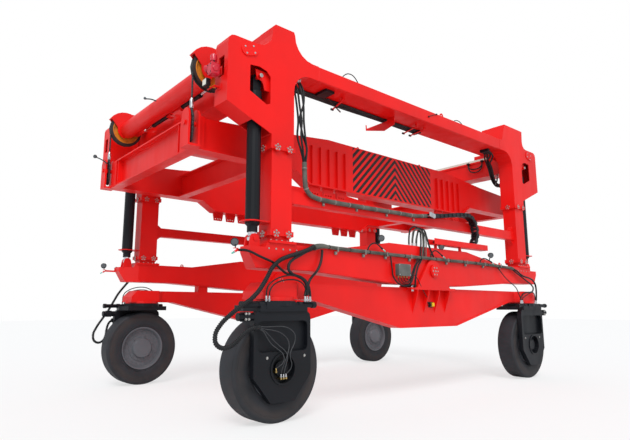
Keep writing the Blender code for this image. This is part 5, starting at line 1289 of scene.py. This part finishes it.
# Clamped hoses under the near side beam, their plates and the cross bars that carry them
underRows = [-1.866 - 0.038 * k for k in range(4)]
underHoses = []
for number, y in enumerate(underRows):
    wave = 0.004 * math.sin(2.1 * number)
    route = smoothPath([(x, y + wave * math.sin(x * 3.0), 4.812 - 0.004 * math.cos(x * 4.0 + number))
                        for x in np.linspace(-2.72, 0.3, 22)], 0.03)
    underHoses.append(sweep(route, 0.0155, 10, (0, 1, 0)))
makePiece("beam_hoses", underHoses, hoseRubber, "portal", 60.0)
makePiece("beam_hose_plates", [block((-2.8, -2.01, 4.776), (-2.7, -1.84, 4.8286), 0.003),
                               block((0.285, -2.01, 4.776), (0.345, -1.84, 4.8286), 0.003),
                               block((-2.35, -2.262, 4.786), (-2.165, -2.005, 4.8286), 0.003)], blackPaint,
          "portal")


def crossBar(start, end, wide, thick):
    # a flat bar between two points of one height, as a prism along its own direction
    start, end = np.array(start), np.array(end)
    section = np.array([(-1, -1), (1, -1), (1, 1), (-1, 1)]) * (wide / 2, thick / 2)
    return prism(section, (start + end) / 2, end - start, (0, 0, 1), float(np.linalg.norm(end - start)))


bars = (((-1.905, -2.19, 4.78), (-1.772, -1.795, 4.78)), ((-0.012, -2.19, 4.78), (0.1, -1.795, 4.78)),
        ((0.232, -2.185, 4.78), (0.3, -1.795, 4.78)))
redBars = [crossBar(start, end, 0.03, 0.012) for start, end in bars]
redBars += [block((start[0] - 0.014, start[1] - 0.004, 4.7862), (start[0] + 0.014, start[1] + 0.026, 4.8286), 0.001)
            for start, end in bars]
# the hanging arm: a plate across the beam with an upturned end
armOutline = np.array([(-0.335, 0.0), (-0.335, -0.145), (-0.087, -0.205), (0.364, -0.078), (0.372, 0.03),
                       (0.354, 0.03), (0.346, -0.045), (0.01, -0.04), (-0.172, -0.04), (-0.172, 0.0)])
redBars.append(prism(armOutline, (-0.62, -1.8335, 4.8286), (1, 0, 0), (0, 0, 1), 0.012))
makePiece("beam_hose_bars", redBars, redPaint, "portal")
darkBars = [crossBar((-2.157, -2.087, 4.7686), (-1.6, -1.8, 4.7686), 0.022, 0.01)]
darkBars += [block((end[0] - 0.03, end[1] + 0.004, 4.764), (end[0] + 0.03, end[1] + 0.034, 4.796), 0.003)
             for start, end in bars]
makePiece("beam_hose_clamps", darkBars, lampPlastic, "portal")

# Thin loops on the side beam's top, a line clipped to its face
for number, (x, high) in enumerate(((-1.74, 5.272), (1.33, 5.212))):
    loop = [(x + dx, -2.2, 5.072 + (high - 5.072) * rise) for dx, rise in
            ((-0.215, 0.0), (-0.2, 0.34), (-0.14, 0.72), (-0.05, 0.97), (0.05, 0.97), (0.13, 0.72), (0.185, 0.34),
             (0.2, 0.0))]
    makeHose(f"beam_loop_{number + 1}", 0.016, False, ("portal",), loop, hoseRubber, declared=False)
    glands = [lathe([(0.0, 0.0), (0.016, 0.0), (0.016, 0.01), (0.011, 0.014), (0.0, 0.014)],
                    (x + dx, -2.2, 5.0604), (0, 0, 1), 16) for dx in (-0.215, 0.2)]
    makePiece(f"beam_loop_glands_{number + 1}", glands, socketSteel, "portal")
faceLine = smoothPath(((0.09, -2.3935, 4.936), (0.16, -2.3945, 4.972), (0.24, -2.3945, 5.006),
                       (0.34, -2.3935, 5.044)), 0.02)
makePiece("beam_face_line", [sweep(faceLine, 0.006, 10, (0, 1, 0))]
          + [block((x - 0.01, -2.404, z - 0.012), (x + 0.01, -2.3844, z + 0.012), 0.001)
             for x, z in ((0.092, 4.937), (0.338, 5.043))], lampPlastic, "portal")

# Hoses from the near side beam's right end down past the leg to the end beam
kneeHoses = (
    ("knee_hose_1", 0.044, ((2.4, -2.13, 4.79), (2.52, -2.11, 4.77), (2.66, -2.03, 4.778), (2.8, -1.95, 4.756),
                            (2.9, -1.916, 4.69), (2.985, -1.908, 4.58), (3.04, -1.906, 4.45), (3.11, -1.906, 4.33),
                            (3.22, -1.906, 4.25), (3.35, -1.906, 4.25), (3.44, -1.906, 4.33),
                            (3.47, -1.906, 4.44))),
    ("knee_hose_2", 0.044, ((2.4, -2.18, 4.79), (2.54, -2.168, 4.756), (2.7, -2.06, 4.742), (2.84, -1.93, 4.724),
                            (2.94, -1.868, 4.64), (3.01, -1.862, 4.52), (3.06, -1.862, 4.4), (3.14, -1.862, 4.284),
                            (3.26, -1.862, 4.214), (3.41, -1.862, 4.23), (3.5, -1.862, 4.33),
                            (3.52, -1.862, 4.44))),
    ("knee_hose_3", 0.034, ((2.4, -2.08, 4.79), (2.54, -2.04, 4.79), (2.7, -1.95, 4.8), (2.85, -1.86, 4.782),
                            (2.97, -1.818, 4.712), (3.07, -1.808, 4.6), (3.12, -1.808, 4.47), (3.18, -1.808, 4.37),
                            (3.27, -1.808, 4.31), (3.37, -1.808, 4.32), (3.42, -1.808, 4.38),
                            (3.43, -1.808, 4.44))),
    ("knee_hose_4", 0.036, ((2.4, -2.225, 4.79), (2.56, -2.216, 4.73), (2.74, -2.09, 4.69), (2.89, -1.96, 4.65),
                            (2.97, -1.952, 4.56), (3.0, -1.952, 4.45), (3.05, -1.952, 4.32), (3.15, -1.952, 4.21),
                            (3.3, -1.952, 4.17), (3.47, -1.952, 4.21), (3.56, -1.952, 4.32), (3.57, -1.952, 4.44))),
)
for name, diameter, points in kneeHoses:
    makeHose(name, diameter, False, ("portal",), points, hoseRubber)
makePiece("knee_hose_block", [block((2.33, -2.25, 4.772), (2.3985, -2.055, 4.8286), 0.003)], blackPaint, "portal")
kneeEnds = [points[-1][:2] + (4.4996,) for name, diameter, points in kneeHoses]
makePiece("knee_hose_fittings", [copies(hoseFitting(0.015, 0.062), kneeEnds, (0, 0, -1))], socketSteel, "portal")
for number, drop in enumerate((0.0, 0.045)):
    makeHose(f"rail_loop_{number + 1}", 0.028, False, ("portal",),
             ((3.3, -1.15, 4.86), (3.298, -1.16, 4.8 - drop), (3.296, -1.22, 4.75 - drop * 1.6),
              (3.296, -1.33, 4.73 - drop * 1.8), (3.296, -1.45, 4.745 - drop * 1.6), (3.298, -1.51, 4.8 - drop),
              (3.3, -1.52, 4.86)), hoseRubber, declared=False)
makePiece("rail_loop_blocks", [block((3.27, y - 0.03, 4.86), (3.3296, y + 0.03, 4.906), 0.003)
                               for y in (-1.15, -1.52)],
          blackPaint, "portal")

# Knuckles: bolts of the steering ports and the cheeks; pin caps and lugs in the wings' windows
for cornerName, sx, sy in corners:
    body = "steer_" + cornerName
    cheek = [(sx * x, sy * (2.474 + touch), z) for x, z in ((3.553, 0.832), (2.952, 0.832))]
    port = [(sx * x, sy * (2.478 + touch), z) for x in (3.838, 3.882) for z in (1.312, 1.38)]
    makePiece("cheek_bolts_" + cornerName, [copies(boltHead(0.013, 0.01, 0.018), cheek, (0, sy, 0)),
                                            copies(boltHead(0.014, 0.012, 0.017), port, (0, sy, 0))], zincBolt,
              body)
lugOutline = np.array([(-0.062, 0.1), (-0.05, 0.015), (-0.03, -0.03), (0.004, -0.04), (0.04, -0.052),
                       (0.068, -0.09), (0.092, -0.175), (0.169, -0.175), (0.169, 0.1)])
lugs, pinCaps = [], []
for cornerName, sx, sy in corners:
    lugs.append(prism(lugOutline * (1 if sy < 0 else -1, 1) * (1 if sx < 0 else -1, 1),
                      (sx * 3.645, sy * 2.32, 4.6), (0, sy, 0), (0, 0, 1), 0.014))
    pinCaps.append(lathe([(0.0, 0.0), (0.029, 0.0), (0.029, 0.004), (0.02, 0.007), (0.0, 0.008)],
                       (sx * 3.645, sy * 2.3804, 4.6), (0, sy, 0), 24))
makePiece("pin_lugs", lugs, redPaint, "portal")
makePiece("pin_caps", pinCaps, zincBolt, "portal")
# Plates over the right wings' end hatches
hatchCovers, hatchBolts = [], []
for sideName, sy in sides:
    low, high = np.array([4.1804, sy * 2.223 - 0.092, 4.456]), np.array([4.1884, sy * 2.223 + 0.092, 4.784])
    hatchCovers.append(block(low, high, 0.002))
    hatchBolts.append(copies(boltHead(0.007, 0.005, 0.01), [(4.1886, sy * 2.223 + dy, z) for dy in (-0.078, 0.078)
                                                           for z in (4.472, 4.62, 4.768)], (1, 0, 0)))
makePiece("hatch_covers", hatchCovers, redPaint, "portal")
makePiece("hatch_bolts", hatchBolts, zincBolt, "portal")
print("beam hoses and pins made")
